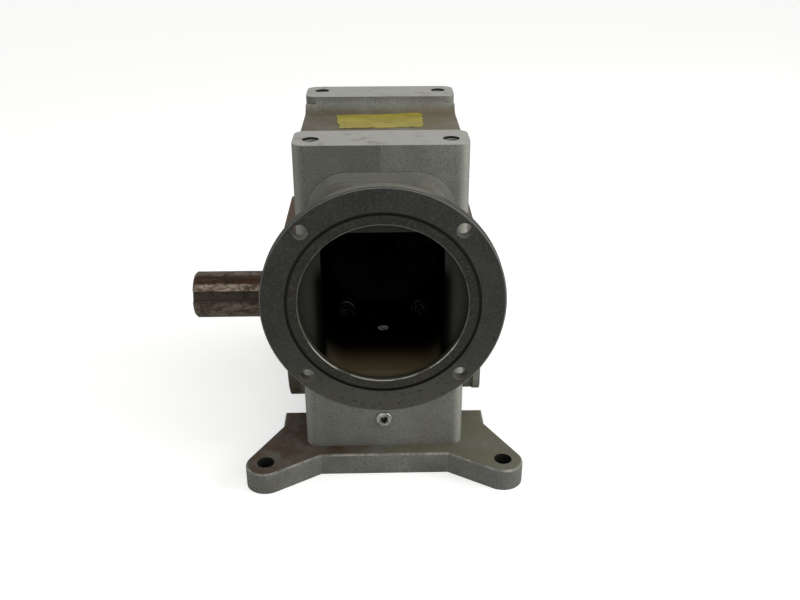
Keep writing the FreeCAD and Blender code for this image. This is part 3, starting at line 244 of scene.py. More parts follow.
@dataclass(frozen=True)
class Finish:
    """One surface: what it is made of and how it was made."""

    name: str

    def material(self) -> Material:
        """Give the finish's material, making it the first time."""
        found = bpy.data.materials.get(self.name)
        if found is None:
            found = bpy.data.materials.new(self.name)
            paint = Paint.on(found)
            inputs = self.shading(paint)
            shader = paint.add("BsdfPrincipled", {"Base Color": paint.colour, **inputs})
            paint.add("OutputMaterial", {"Surface": shader})
        return found

    def shading(self, paint: Paint) -> Inputs:
        """Build the surface's pattern and leave its colour in the paint.

        Args:
            paint: the material's node tree.

        Returns:
            The principled shader's inputs, without the colour.
        """
        raise NotImplementedError


@dataclass(frozen=True)
class CastSkin(Finish):
    """Sand-cast iron under a thin worn coat.

    A fine sandy grain breaks up the light, the coat is a little cloudy and has
    rubbed thin on edges, painted shade darkens the corners and a brown layer of rusty dust
    has settled on whatever faces up. The dust can be of another brown on the left,
    up to the span left_edge of X. The four upright bolt holes, given by their
    distance from the middle along X and Y and by their radius, are painted dark inside as shade.
    """

    dust: str
    body: str = "#6a6b64"
    light: str = "#797a73"
    dark: str = "#51524c"
    settling: float = 0.75
    left_dust: str = ""
    left_edge: Span = (0.0, 0.0)
    stain: str = "#5a4636"
    staining: float = 0.12
    # The colour of the painted shade in corners and crevices.
    crevice_shade: str = "#2a2721"
    scuff: str = "#23221f"
    worn_edge: str = "#8f9089"
    wear: float = 0.6
    roughness: float = 0.68
    grain: float = 1.3
    holes: Triple | None = None
    # The colour of the painted shade inside the bolt holes.
    hole_shade: str = "#0b0a08"

    def shading(self, paint: Paint) -> Inputs:
        """Lay the coat and raise its sandy grain and pits."""
        sand = self.coat(paint)
        pits = paint.patches(4.0, 0.66, 0.74, detail=2.0)
        return {
            "Roughness": paint.ramp(sand, 0.3, 0.7, self.roughness - 0.12, self.roughness + 0.12),
            "Metallic": 0.15,
            "Specular IOR Level": 0.4,
            "Normal": paint.bump(paint.maths("ADD", sand, paint.times(pits, -1.4)), 0.4, 0.3),
        }

    def coat(self, paint: Paint) -> Node:
        """Lay the coat's clouds, dust, stains, marks, painted corner shade, worn edges and grain."""
        clouds = paint.patches(30.0, 0.3, 0.7, detail=4.0)
        paint.colour = paint.mix(clouds, self.body, self.light)
        sand = paint.noise(self.grain, 3.0, 0.65)
        paint.over(paint.ramp(sand, 0.42, 0.68, top=0.6), self.dark)
        self.settle_dust(paint)
        streaks = paint.patches(20.0, 0.36, 0.62, top=self.staining, detail=5.0, ragged=0.6,
                                stretch=(1.0, 1.0, 0.35))
        paint.over(streaks, self.stain)
        self.mark(paint)
        # Painted shade: the coat darkens where ambient occlusion finds a corner or a crevice.
        paint.over(paint.ramp(paint.crevices(6.0, 4), 0.62, 0.2, top=0.5), self.crevice_shade)
        scuffs = paint.patches(13.0, 0.7, 0.74, top=0.75, detail=8.0, ragged=0.8, stretch=(0.5, 1.0, 1.0))
        paint.over(scuffs, self.scuff)
        paint.over(paint.sharp_edges(1.4, self.wear), self.worn_edge)
        self.paint_highlights(paint)
        if self.holes:
            # Painted shade: the bolt holes' walls turn almost black.
            paint.over(self.down_the_holes(paint, *self.holes), self.hole_shade)
        return sand

    def settle_dust(self, paint: Paint) -> None:
        """Lay the dust on whatever faces up, unevenly."""
        upward = paint.ramp(paint.facing["Z"], 0.35, 0.95, top=self.settling)
        uneven = paint.patches(18.0, 0.3, 0.62, 0.5, 1.0, detail=5.0, ragged=0.6)
        dust = self.dust
        if self.left_dust:
            dust = paint.mix(paint.span(paint.at["X"], *self.left_edge), self.left_dust, dust)
        paint.over(paint.times(upward, uneven), dust)

    def mark(self, paint: Paint) -> None:
        """Lay on what only this casting has, before the dirt: nothing on a plain one."""

    def paint_highlights(self, paint: Paint) -> None:
        """Paint the highlights that only this casting has, after the edges: none on a plain one."""

    def down_the_holes(self, paint: Paint, across: float, along: float, radius: float) -> Node:
        """Find the walls of the four upright bolt holes, where shade is painted."""
        corner = paint.vector("ABSOLUTE", paint.place())
        away = paint.vector("SUBTRACT", corner, (across * MM, along * MM, 0.0))
        distance = paint.vector("LENGTH", paint.vector("MULTIPLY", away, (1.0, 1.0, 0.0)))
        return paint.span(distance, radius + 0.35, radius + 0.1)


@dataclass(frozen=True)
class MilledFlat:
    """A flat that the mill has cleaned: the heights that it lies between, and its bare metal."""

    low: float
    high: float
    metal: str


@dataclass(frozen=True)
class HousingIron(CastSkin):
    """The block's skin: a darker upper left front, painted corner highlights, and milled pads and seats."""

    # A darker tone for the left of the upper front face.
    left_front_dark: str = "#2f302c"
    left_front_aside: Span = (0.5, -1.5)
    left_front_depth: Span = (-90.0, -100.0)
    left_front_rise: Span = (150.0, 200.0)
    # The colour of the painted highlights on the block's rounded corners.
    rubbed: str = "#b4b5ad"
    corner_aside: Span = (57.0, 64.0)
    corner_front: Span = (89.0, 96.0)
    flats: tuple[MilledFlat, ...] = (MilledFlat(280.9, 281.6, "#a09f99"), MilledFlat(18.4, 19.5, "#8a8984"))
    scratch: str = "#83827c"
    tarnish: str = "#736a58"
    speck: str = "#4a463d"

    def mark(self, paint: Paint) -> None:
        """Darken the upper left front, paint the corner highlights and clean the milled flats."""
        # Darken the left of the upper front face.
        left_front = paint.times(paint.span(paint.at["X"], *self.left_front_aside),
                            paint.span(paint.at["Y"], *self.left_front_depth),
                            paint.span(paint.at["Z"], *self.left_front_rise, top=0.3))
        paint.over(left_front, self.left_front_dark)
        # Painted highlight: the rounded vertical corners of the front and back are lightened.
        aside = paint.add("SeparateXYZ", {0: paint.vector("ABSOLUTE", paint.place())}).outputs
        corners = paint.times(paint.span(aside["X"], *self.corner_aside),
                              paint.span(aside["Y"], *self.corner_front, top=0.3))
        paint.over(corners, self.rubbed)
        scratches = paint.patches(1.8, 0.4, 0.7, top=0.5, detail=4.0, ragged=0.75, stretch=(0.12, 1.0, 1.0))
        blotches = paint.patches(16.0, 0.52, 0.7, top=0.55, detail=6.0, ragged=0.65)
        specks = paint.patches(3.0, 0.66, 0.72, top=0.7, ragged=0.6)
        for flat in self.flats:
            metal = paint.mix(scratches, flat.metal, self.scratch)
            metal = paint.mix(specks, paint.mix(blotches, metal, self.tarnish), self.speck)
            paint.over(paint.between(paint.at["Z"], flat.low, flat.high, 0.4), metal)


@dataclass(frozen=True)
class CoverIron(CastSkin):
    """The output cover's skin, which is grey with oil low down."""

    oil: str = "#3b3c34"
    oil_fall: Span = (130.0, 62.0)

    def mark(self, paint: Paint) -> None:
        """Oil the cover towards its foot."""
        uneven = paint.patches(24.0, 0.35, 0.6, 0.5, 1.0, detail=5.0, ragged=0.6)
        paint.over(paint.times(paint.span(paint.at["Z"], *self.oil_fall), uneven), self.oil)


@dataclass(frozen=True)
class FootIron(CastSkin):
    """The feet's skin, with painted highlights on its rounded upper edges."""

    def paint_highlights(self, paint: Paint) -> None:
        """Paint highlights, in the worn edges' colour, on the rounds, which face neither up nor sideways."""
        up = paint.facing["Z"]
        turning = paint.times(paint.ramp(up, 0.15, 0.5), paint.ramp(up, 0.97, 0.8))
        broken = paint.patches(9.0, 0.42, 0.62, 0.1, 0.7, detail=6.0, ragged=0.75)
        # Painted highlight: the upper rounds are lightened in the worn edges' colour.
        paint.over(paint.times(turning, broken), self.worn_edge)


@dataclass(frozen=True)
class FlangePoint:
    """Where a point of the flange lies: along its axis, over it, beside it and away from it."""

    depth: Value
    height: Value
    aside: Value
    radius: Value


@dataclass(frozen=True)
class FlangeIron(CastSkin):
    """The motor flange: a turned face gone dark with age, on a cast neck painted black inside as shade.

    The turned face is blotched brown and pitted with rust low down, its groove is
    painted almost black, the register has painted shade on its wall and painted
    highlights on its edge, and the tunnel is painted dark as shade a little way in.
    The methods take the material's paint and each point's place; on_face is 1 on the
    turned face. A span's first value is where its region starts to show, and its
    second where it shows fully. The tunnel's floor darkens over the length daylight.
    """

    axis_height: float = 199.6
    face: float = -198.1
    register_floor: float = -192.1
    register_radius: float = 57.15
    groove_inside: float = 63.65
    groove_outside: float = 65.85
    rim_radius: float = 82.55
    wall_half_width: float = 44.5
    wall_top: float = 51.7
    wall_bottom: float = -56.5
    wall_corner: float = 61.5
    corner_lean: float = 0.033
    turning_pitch: float = 0.9
    brown_foot: Span = (-20.0, -78.0)
    dark_crest: Span = (20.0, 75.0)
    pitted_foot: Span = (10.0, -70.0)
    # Where the painted highlights on the register's edge lie.
    cheek_start: Span = (30.0, 35.0)
    cheek_end: Span = (53.0, 46.0)
    under_end: Span = (26.0, 18.0)
    highlight_start: Span = (-12.0, -24.0)
    tunnel_floor_start: Span = (-40.0, -50.0)
    above_tunnel_floor: Span = (-50.0, -36.0)
    wall_reach: Span = (51.0, 41.0)
    wall_fade: Span = (36.0, 12.0)
    daylight: float = 42.0

    def shading(self, paint: Paint) -> Inputs:
        """Lay the turned face, its rings and the tunnel's painted shade over the cast neck."""
        self.coat(paint)
        height = paint.maths("SUBTRACT", paint.at["Z"], self.axis_height * MM)
        flat = paint.add("CombineXYZ", {"X": paint.at["X"], "Y": height})
        point = FlangePoint(paint.at["Y"], height, paint.maths("ABSOLUTE", paint.at["X"]),
                            paint.vector("LENGTH", flat))
        on_face = paint.span(point.depth, self.face + 0.5, self.face + 0.1)
        self.turn(paint, point, on_face)
        bright = self.bore(paint, point, on_face)
        within = self.indoors(paint, point)
        # Painted shade: the tunnel's walls turn dark olive and its floor, where light reaches, a lighter
        # brown.
        paint.over(within, paint.mix(paint.span(height, *self.tunnel_floor_start), "#1a1b15", "#413927"))
        # Painted shade: the tunnel turns black a little way in and loses its sheen.
        tunnel_shade = paint.times(within, self.blackness(paint, point))
        paint.over(tunnel_shade, "#020202")
        rings = paint.maths("SINE", paint.times(point.radius, 2 * math.pi / (self.turning_pitch * MM)))
        texture = paint.add("Mix", {0: on_face, 2: paint.noise(1.5, 3.0, 0.6), 3: paint.times(rings, 0.1)})
        return {
            "Roughness": paint.ramp(bright, 0.1, 0.8, 0.6, 0.28),
            "Metallic": paint.ramp(bright, 0.1, 0.8, 0.0, 0.9),
            "Specular IOR Level": paint.ramp(tunnel_shade, 0.0, 0.8, 0.22, 0.0),
            "Normal": paint.bump(texture, 0.3, 0.22),
        }

    def turn(self, paint: Paint, point: FlangePoint, on_face: Value) -> None:
        """Lay on the turned face, the rim and the groove painted almost black."""
        cloud = paint.patches(26.0, 0.3, 0.7, detail=5.0, ragged=0.6)
        foot = paint.span(point.height, *self.brown_foot, top=0.8)
        crest = paint.span(point.height, *self.dark_crest, top=0.4)
        groove_middle = (self.groove_inside + self.groove_outside) / 2
        land = paint.span(point.radius, groove_middle + 0.5, groove_middle - 0.5, top=0.8)
        bloom = paint.patches(13.0, 0.5, 0.7, top=0.55, detail=7.0, ragged=0.75)
        rubbed = paint.patches(2.2, 0.46, 0.66, top=0.55, detail=4.0, ragged=0.7)
        pitted = paint.span(point.height, *self.pitted_foot, 0.15, 1.0)
        specks = paint.times(paint.patches(2.6, 0.6, 0.66, top=0.65, detail=2.0), pitted)
        colour = paint.mix(cloud, "#222321", "#2e2f2c")
        for share, tint in ((foot, "#434238"), (crest, "#171816"), (land, "#15150e"), (bloom, "#332b1e"),
                            (rubbed, "#3d3e3a"), (specks, "#151411")):
            colour = paint.mix(share, colour, tint)
        on_rim = paint.span(point.radius, self.rim_radius - 0.6, self.rim_radius - 0.2)
        paint.over(paint.either(on_face, on_rim), colour)
        paint.over(paint.times(on_rim, paint.ramp(paint.facing["Z"], 0.86, 0.97)), "#58574f")
        # Paint the groove almost black.
        near_face = paint.span(point.depth, self.face + 2.6, self.face + 2.2)
        groove = paint.between(point.radius, self.groove_inside, self.groove_outside, 0.3)
        paint.over(paint.times(near_face, groove), "#13110a")

    def bore(self, paint: Paint, point: FlangePoint, on_face: Value) -> Value:
        """Paint shade on the register's wall and highlights on its edge; give how bright each point is."""
        inside = paint.span(point.radius, self.register_radius + 0.6, self.register_radius + 0.1)
        wall = paint.times(inside, paint.span(point.depth, self.face + 0.6, self.face + 1.2),
                           paint.span(point.depth, self.register_floor + 0.6, self.register_floor + 0.2))
        # Painted shade: the register's cylindrical wall is darkened to a dark olive.
        paint.over(wall, "#27261b")
        before = paint.span(point.depth, self.face + 1.6, self.face + 0.9)
        lip = paint.between(point.radius, self.register_radius - 0.05, self.register_radius + 0.45, 0.3)
        edge = paint.either(paint.times(inside, before), paint.times(on_face, lip))
        rubbed = paint.patches(12.0, 0.34, 0.5, 0.3, 1.0, detail=4.0, ragged=0.6)
        bright = paint.times(edge, rubbed, self.highlight_arcs(paint, point))
        # Painted highlight: the register's edge turns almost white low at both sides and underneath.
        paint.over(bright, "#d2d0c2")
        return bright

    def highlight_arcs(self, paint: Paint, point: FlangePoint) -> Node:
        """Find where highlights are painted on the register's edge: low at both sides and underneath."""
        cheeks = paint.times(paint.span(point.aside, *self.cheek_start),
                             paint.span(point.aside, *self.cheek_end))
        under = paint.span(point.aside, *self.under_end, top=0.7)
        low = paint.span(point.height, *self.highlight_start)
        return paint.either(paint.times(paint.either(cheeks, under), low), 0.1)

    def indoors(self, paint: Paint, point: FlangePoint) -> Value:
        """Find the register's ledge and the tunnel behind it, up to the middle of the neck's wall."""
        floor = self.register_floor
        ledge = paint.times(paint.span(point.radius, self.register_radius + 5.0, self.register_radius + 1.0),
                            paint.span(point.depth, floor + 1.2, floor + 0.6))
        leaning = paint.maths("ADD", paint.times(point.height, self.corner_lean), point.radius)
        tunnel = paint.times(paint.span(point.aside, self.wall_half_width + 0.5, self.wall_half_width - 0.5),
                             paint.between(point.height, self.wall_bottom + 0.5, self.wall_top - 0.5, 1.0),
                             paint.span(leaning, self.wall_corner + 0.4, self.wall_corner - 0.4))
        return paint.times(paint.span(point.depth, floor - 0.8, floor - 0.2), paint.either(ledge, tunnel))

    def blackness(self, paint: Paint, point: FlangePoint) -> Node:
        """Find the tunnel's painted black shade: at once on its walls and roof, further in on its floor."""
        past_ledge = paint.span(point.depth, self.register_floor + 0.2, self.register_floor + 1.2)
        deep = paint.span(point.depth, self.register_floor, self.register_floor + self.daylight)
        above = paint.span(point.height, *self.above_tunnel_floor)
        walls = paint.times(paint.span(point.aside, *self.wall_reach, top=0.9),
                            paint.span(point.height, *self.wall_fade))
        return paint.either(paint.times(walls, above), paint.times(past_ledge, paint.either(deep, above)))


@dataclass(frozen=True)
class RustedSteel(Finish):
    """Turned steel that has rusted in the open.

    Thin brown rust lies in streaks, rubbed through to bare metal here and there.
    What lies before the place that the last field gives, along Y, is painted black as shade.
    """

    streak: Triple = (0.12, 1.0, 1.0)
    rust: str = "#422711"
    deep: str = "#231911"
    olive: str = "#3c3420"
    mottle: str = "#3c2b1b"
    bare: str = "#93877a"
    bareness: float = 0.55
    blotch: str = "#1f140b"
    blotching: float = 0.0
    worn_edge: str = "#a89f92"
    # The black of the painted shade at the front.
    shade_black: str = "#040403"
    shaded_before: float = -1000.0

    def shading(self, paint: Paint) -> Inputs:
        """Streak the rust, wear it through to metal, paint the front black as shade and pit the surface."""
        depth = paint.patches(4.0, 0.35, 0.68, detail=5.0, ragged=0.65, stretch=self.streak)
        paint.colour = paint.mix(depth, self.deep, self.rust)
        paint.over(paint.patches(7.0, 0.5, 0.7, top=0.6, stretch=self.streak), self.olive)
        paint.over(paint.patches(3.5, 0.45, 0.65, top=0.3, detail=5.0, ragged=0.7), self.mottle)
        rubbed = self.rubbing(paint)
        paint.over(rubbed, self.bare)
        self.mark(paint)
        paint.over(paint.patches(7.0, 0.5, 0.6, top=self.blotching, detail=5.0, ragged=0.65), self.blotch)
        paint.over(paint.sharp_edges(0.6, 0.6), self.worn_edge)
        # Painted shade: the part in front of the given place along Y turns black, without metal or sheen.
        unshaded = paint.span(paint.at["Y"], self.shaded_before, self.shaded_before + 2.0)
        pits = paint.noise(1.2, 4.0, 0.7)
        paint.colour = paint.mix(unshaded, self.shade_black, paint.colour)
        return {
            "Roughness": paint.ramp(pits, 0.3, 0.7, 0.42, 0.7),
            "Metallic": paint.times(paint.ramp(rubbed, 0.0, 0.8, 0.0, 0.8), unshaded),
            "Specular IOR Level": paint.times(unshaded, 0.15),
            "Normal": paint.bump(pits, 0.35, 0.15),
        }

    def rubbing(self, paint: Paint) -> Value:
        """Give how bare each point is rubbed."""
        return paint.patches(2.6, 0.52, 0.7, top=self.bareness, detail=5.0, ragged=0.75, stretch=self.streak)

    def mark(self, paint: Paint) -> None:
        """Lay on what only this piece has, before the blotches: nothing on a plain one."""


@dataclass(frozen=True)
class KeyedBar(RustedSteel):
    """A rusted bar along X, with a rubbed stripe, a rubbed underside and dirt in its keyway."""

    axis_height: float = 117.05
    radius: float = 20.6375
    stripe_at: float = 50.0
    keyway_dirt: str = "#443b33"

    def across(self, paint: Paint) -> Value:
        """Give each point's way out from the bar's axis."""
        centred = paint.vector("SUBTRACT", paint.place(), (0.0, 0.0, self.axis_height * MM))
        return paint.vector("MULTIPLY", centred, (0.0, 1.0, 1.0))

    def rubbing(self, paint: Paint) -> Value:
        """Give how bare each point is rubbed, with the stripe and the underside."""
        turn = math.radians(self.stripe_at)
        outward = paint.vector("NORMALIZE", self.across(paint))
        towards = paint.vector("DOT_PRODUCT", outward, (0.0, -math.sin(turn), math.cos(turn)))
        near, edge, past, under = (math.cos(math.radians(degrees)) for degrees in (6.0, 12.0, 30.0, 45.0))
        sides = paint.either(paint.ramp(towards, edge, near), paint.ramp(towards, past, under, top=0.55))
        broken = paint.patches(7.0, 0.36, 0.58, 0.2, 1.0, detail=5.0, ragged=0.7, stretch=(0.4, 1.0, 1.0))
        return paint.either(super().rubbing(paint), paint.times(sides, broken))

    def mark(self, paint: Paint) -> None:
        """Lay dirt on what lies below the bar's surface."""
        out = paint.vector("LENGTH", self.across(paint))
        paint.over(paint.span(out, self.radius - 0.2, self.radius - 1.2, top=0.85), self.keyway_dirt)


@dataclass(frozen=True)
class ShadowBlack(Finish):
    """Iron or steel at the bottom of the neck, painted black as shade.

    Hardly any light comes back from it, but its edges can have painted highlights as glints.
    """

    black: str = "#030303"
    tint: str = "#0a0a08"
    # The colour of the painted glints on the edges.
    edge: str = "#d8d8d0"
    glint: float = 0.0

    def shading(self, paint: Paint) -> Inputs:
        """Paint the surface black as shade and its edges bright as glints."""
        # Painted shade: the surface is nearly black.
        paint.colour = paint.mix(paint.patches(12.0, 0.35, 0.7, detail=4.0), self.black, self.tint)
        edges = paint.sharp_edges(0.5, self.glint)
        # Painted highlight: the edges are lightened as glints, as strongly as glint.
        paint.over(edges, self.edge)
        return {
            "Roughness": paint.ramp(edges, 0.0, 0.6, 0.85, 0.25),
            "Metallic": paint.ramp(edges, 0.0, 0.6, 0.0, 1.0),
            "Specular IOR Level": 0.05,
        }


@dataclass(frozen=True)
class PlatedSteel(Finish):
    """Plated steel: a bright skin that mirrors the room, with painted shade black in its key socket."""

    colour: str = "#b0b1a8"
    shade: str = "#77786f"
    # The colour of the painted shade deep in a socket or hole.
    cavity: str = "#070706"
    metal: float = 1.0

    def shading(self, paint: Paint) -> Inputs:
        """Cloud the plating and paint shade over whatever lies deep in a hole."""
        clouds = paint.patches(5.0, 0.4, 0.62, detail=4.0, ragged=0.6)
        paint.colour = paint.mix(clouds, self.colour, self.shade)
        # Painted shade: what ambient occlusion finds deep in a hole turns nearly black.
        crevice_shade = paint.ramp(paint.crevices(4.0, 6), 0.72, 0.4)
        paint.over(crevice_shade, self.cavity)
        return {
            "Roughness": paint.ramp(crevice_shade, 0.0, 1.0, 0.22, 0.8),
            "Metallic": paint.ramp(crevice_shade, 0.0, 1.0, self.metal, 0.0),
            "Normal": paint.bump(paint.noise(0.9), 0.2, 0.06),
        }


@dataclass(frozen=True)
class CutMetal(Finish):
    """Bare metal as a tool leaves it: ground, turned, hobbed, rolled or pressed."""

    colour: str
    shade: str
    roughness: float
    line_width: float = 0.8
    relief: float = 0.05

    def shading(self, paint: Paint) -> Inputs:
        """Shade the metal in fine tool lines with a faint cloud of tarnish."""
        lines = paint.noise(self.line_width, 3.0, 0.6)
        clouds = paint.patches(12.0, 0.35, 0.7, detail=4.0, ragged=0.6)
        paint.colour = paint.mix(clouds, self.colour, self.shade)
        return {
            "Roughness": paint.ramp(lines, 0.3, 0.7, self.roughness - 0.08, self.roughness + 0.12),
            "Metallic": 1.0,
            "Normal": paint.bump(lines, 0.25, self.relief),
        }


@dataclass(frozen=True)
class SoftSheet(Finish):
    """Moulded rubber or oiled fibre: a dull surface with a faint grain."""

    colour: str
    shade: str
    roughness: float
    grain: float = 1.0

    def shading(self, paint: Paint) -> Inputs:
        """Mottle the sheet and give it a fine grain."""
        paint.colour = paint.mix(paint.patches(7.0, 0.35, 0.65, detail=4.0), self.colour, self.shade)
        return {"Roughness": self.roughness, "Normal": paint.bump(paint.noise(self.grain), 0.2, 0.1)}


@dataclass(frozen=True)
class WornLabel(Finish):
    """A yellow adhesive label: faded, creased and smudged with dirty oil."""

    faded: str = "#897c12"
    yellow: str = "#9a8d2a"
    grime: str = "#5c5329"
    smudge: str = "#2c281c"

    def shading(self, paint: Paint) -> Inputs:
        """Fade the yellow, smear grey dirt over it and smudge it with dark oil."""
        paint.colour = paint.mix(paint.patches(16.0, 0.3, 0.7, detail=4.0), self.faded, self.yellow)
        dirty = paint.patches(7.0, 0.52, 0.74, top=0.65, detail=6.0, ragged=0.7, stretch=(0.5, 1.3, 1.0))
        paint.over(dirty, self.grime)
        oily = paint.patches(4.0, 0.58, 0.64, top=0.85, detail=6.0, ragged=0.8, stretch=(0.3, 1.0, 1.0))
        paint.over(oily, self.smudge)
        return {"Roughness": 0.55, "Normal": paint.bump(paint.noise(3.0, 4.0), 0.4, 0.3)}


HOUSING_IRON = HousingIron("sand_cast_iron_grey_coat", dust="#5f563d", settling=0.9, left_dust="#4d4634",
                           left_edge=(-60.0, 30.0), holes=(52.325, 81.55, 6.15))
COVER_IRON = CoverIron("sand_cast_iron_rust_stained", body="#5c4c40", light="#6a5c50", dark="#40352d",
                       dust="#5d4534", staining=0.7)
FOOT_IRON = FootIron("sand_cast_iron_dull_grimy", body="#61625c", light="#74756f", dark="#45463f",
                     dust="#5f5d4b", settling=0.95, left_dust="#38260f", left_edge=(-55.0, 20.0),
                     staining=0.1, worn_edge="#a3a39b", wear=0.85, holes=(98.2, 121.0, 7.15))
FLANGE_IRON = FlangeIron("turned_iron_aged_dark", body="#5f605a", light="#6b6c65", dust="#5d584a",
                         settling=0.5, wear=0.15)
SHAFT_STEEL = KeyedBar("turned_steel_rusted", blotching=0.6)
# The worm's front stub, in the neck, is painted black as shade.
WORM_STEEL = RustedSteel("turned_steel_oiled_worm_shaded_stub", streak=(1.0, 0.12, 1.0), rust="#4d4a46", deep="#2b2a28",
                         bare="#7d7b78", shaded_before=-100.0)
GROUND_STEEL = CutMetal("bearing_steel_ground", "#b4b4b2", "#9a9a98", 0.2)
PRESSED_STEEL = CutMetal("steel_cage_pressed", "#96958f", "#7d7c77", 0.35)
SCREW_STEEL = CutMetal("screw_steel_black_oxide", "#4a4946", "#33322f", 0.42)
ZINC_PLATE = PlatedSteel("steel_zinc_plated")
# Painted highlight: the drain plug deep in the neck is a pale matt white, so that it shows as a glint.
PLUG_HIGHLIGHT_WHITE = PlatedSteel("steel_dull_white_painted_highlight", colour="#a2a29b", shade="#6c6c66", metal=0.0)
HOBBED_BRONZE = CutMetal("gear_bronze_hobbed", "#b98a4c", "#9c7038", 0.3)
TURNED_IRON = CutMetal("grey_iron_turned", "#6d6d69", "#565652", 0.48)
SHIM_BRASS = CutMetal("shim_stock_rolled", "#8d846a", "#6f6850", 0.35)
SEAL_RUBBER = SoftSheet("nitrile_rubber_moulded", "#1d1d1c", "#121211", 0.55)
GASKET_FIBRE = SoftSheet("gasket_fibre_oiled", "#4d4535", "#3a3428", 0.8)
# The seal cap, seal, gaskets and cap screws deep in the neck are painted black as shade.
SHADED_IRON = ShadowBlack("cast_iron_painted_shade_black")
# The adapter's screws are painted black as shade, with painted glints on their edges.
SHADED_STEEL = ShadowBlack("screw_steel_painted_shade_with_glints", glint=0.9)
LABEL_YELLOW = WornLabel("adhesive_label_worn_yellow")


def add_object(name: str, data: ID) -> Object:
    """Add an object to the scene."""
    made = bpy.data.objects.new(name, data)
    bpy.context.scene.collection.objects.link(made)
    return made


def settled(name: str, mesh: BMesh, finish: Finish, body: Body,
            replaced: Iterable[str] = (), smooth_degrees: float = 32.0) -> None:
    """Turn a finished bmesh into a piece that rides on a body.

    Args:
        name: the piece's name.
        mesh: the bmesh, in metres and in the part's frame.
        finish: what it is made of.
        body: the body that carries it.
        replaced: the CAD nodes that it stands for.
        smooth_degrees: faces that meet at less than this are shaded as one.
    """
    bmesh.ops.remove_doubles(mesh, verts=mesh.verts, dist=1e-7)
    bmesh.ops.recalc_face_normals(mesh, faces=mesh.faces)
    for edge in mesh.edges:
        edge.smooth = len(edge.link_faces) == 2 and edge.calc_face_angle() < math.radians(smooth_degrees)
    for face in mesh.faces:
        face.smooth = True
    data = bpy.data.meshes.new(name)
    mesh.to_mesh(data)
    mesh.free()
    data.materials.append(finish.material())
    piece = add_object(name, data)
    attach(piece, body.value)
    if replaced:
        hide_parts(*replaced)
    LOG.info("%s: %d faces on %s", name, len(data.polygons), body.value)


def turned_to(side: Side) -> Matrix:
    """Give the turn that takes +Z to a side."""
    return Matrix.Rotation(-side.value * math.pi / 2, 4, "X")


def add_bar(mesh: BMesh, segments: int, foot_radius: float, top_radius: float, foot: float,
            top: float) -> None:
    """Add a closed bar of many sides along Z, from the height foot to the height top, all in metres."""
    corners = bmesh.ops.create_cone(mesh, cap_ends=True, segments=segments, radius1=foot_radius,
                                    radius2=top_radius, depth=top - foot)["verts"]
    bmesh.ops.translate(mesh, verts=corners, vec=(0, 0, (top + foot) / 2))


def round_top(mesh: BMesh, above: float, width: float, segments: int) -> None:
    """Round the rim of a bar's top, whose corners alone lie above a height, all in metres."""
    rim = [edge for edge in mesh.edges if all(corner.co.z > above for corner in edge.verts)]
    bmesh.ops.bevel(mesh, geom=rim, offset=width, affect="EDGES", segments=segments, profile=0.5, material=-1)


def sink_hexagon(mesh: BMesh, land: float, key_width: float, depth: float) -> None:
    """Sink a six-sided key socket into the highest face, all in metres.

    Args:
        mesh: the mesh of the head or plug.
        land: how far the face is inset before its corners take the key's form.
        key_width: the key's width across its flats.
        depth: the socket's depth.
    """
    lid = max(mesh.faces, key=lambda face: (round(face.calc_center_median().z, 7), face.calc_area()))
    bmesh.ops.inset_region(mesh, faces=[lid], thickness=land)
    for vertex in lid.verts:
        angle = math.atan2(vertex.co.y, vertex.co.x)
        off_flat = (angle + math.pi / 6) % (math.pi / 3) - math.pi / 6
        reach = key_width / 2 / math.cos(off_flat)
        vertex.co.x, vertex.co.y = reach * math.cos(angle), reach * math.sin(angle)
    floor = bmesh.ops.extrude_discrete_faces(mesh, faces=[lid])["faces"][0]
    bmesh.ops.translate(mesh, verts=floor.verts, vec=(0, 0, -depth))


def dress(finishes: dict[Finish, Sequence[str]], nodes: dict[str, Object]) -> None:
    """Give CAD nodes their finishes.

    Args:
        finishes: each finish and the nodes that have it.
        nodes: the frame's nodes by name.
    """
    for finish, names in finishes.items():
        for name in names:
            slots = nodes[name].data.materials
            slots.clear()
            slots.append(finish.material())
            LOG.info("%s: finished as %s", name, finish.name)


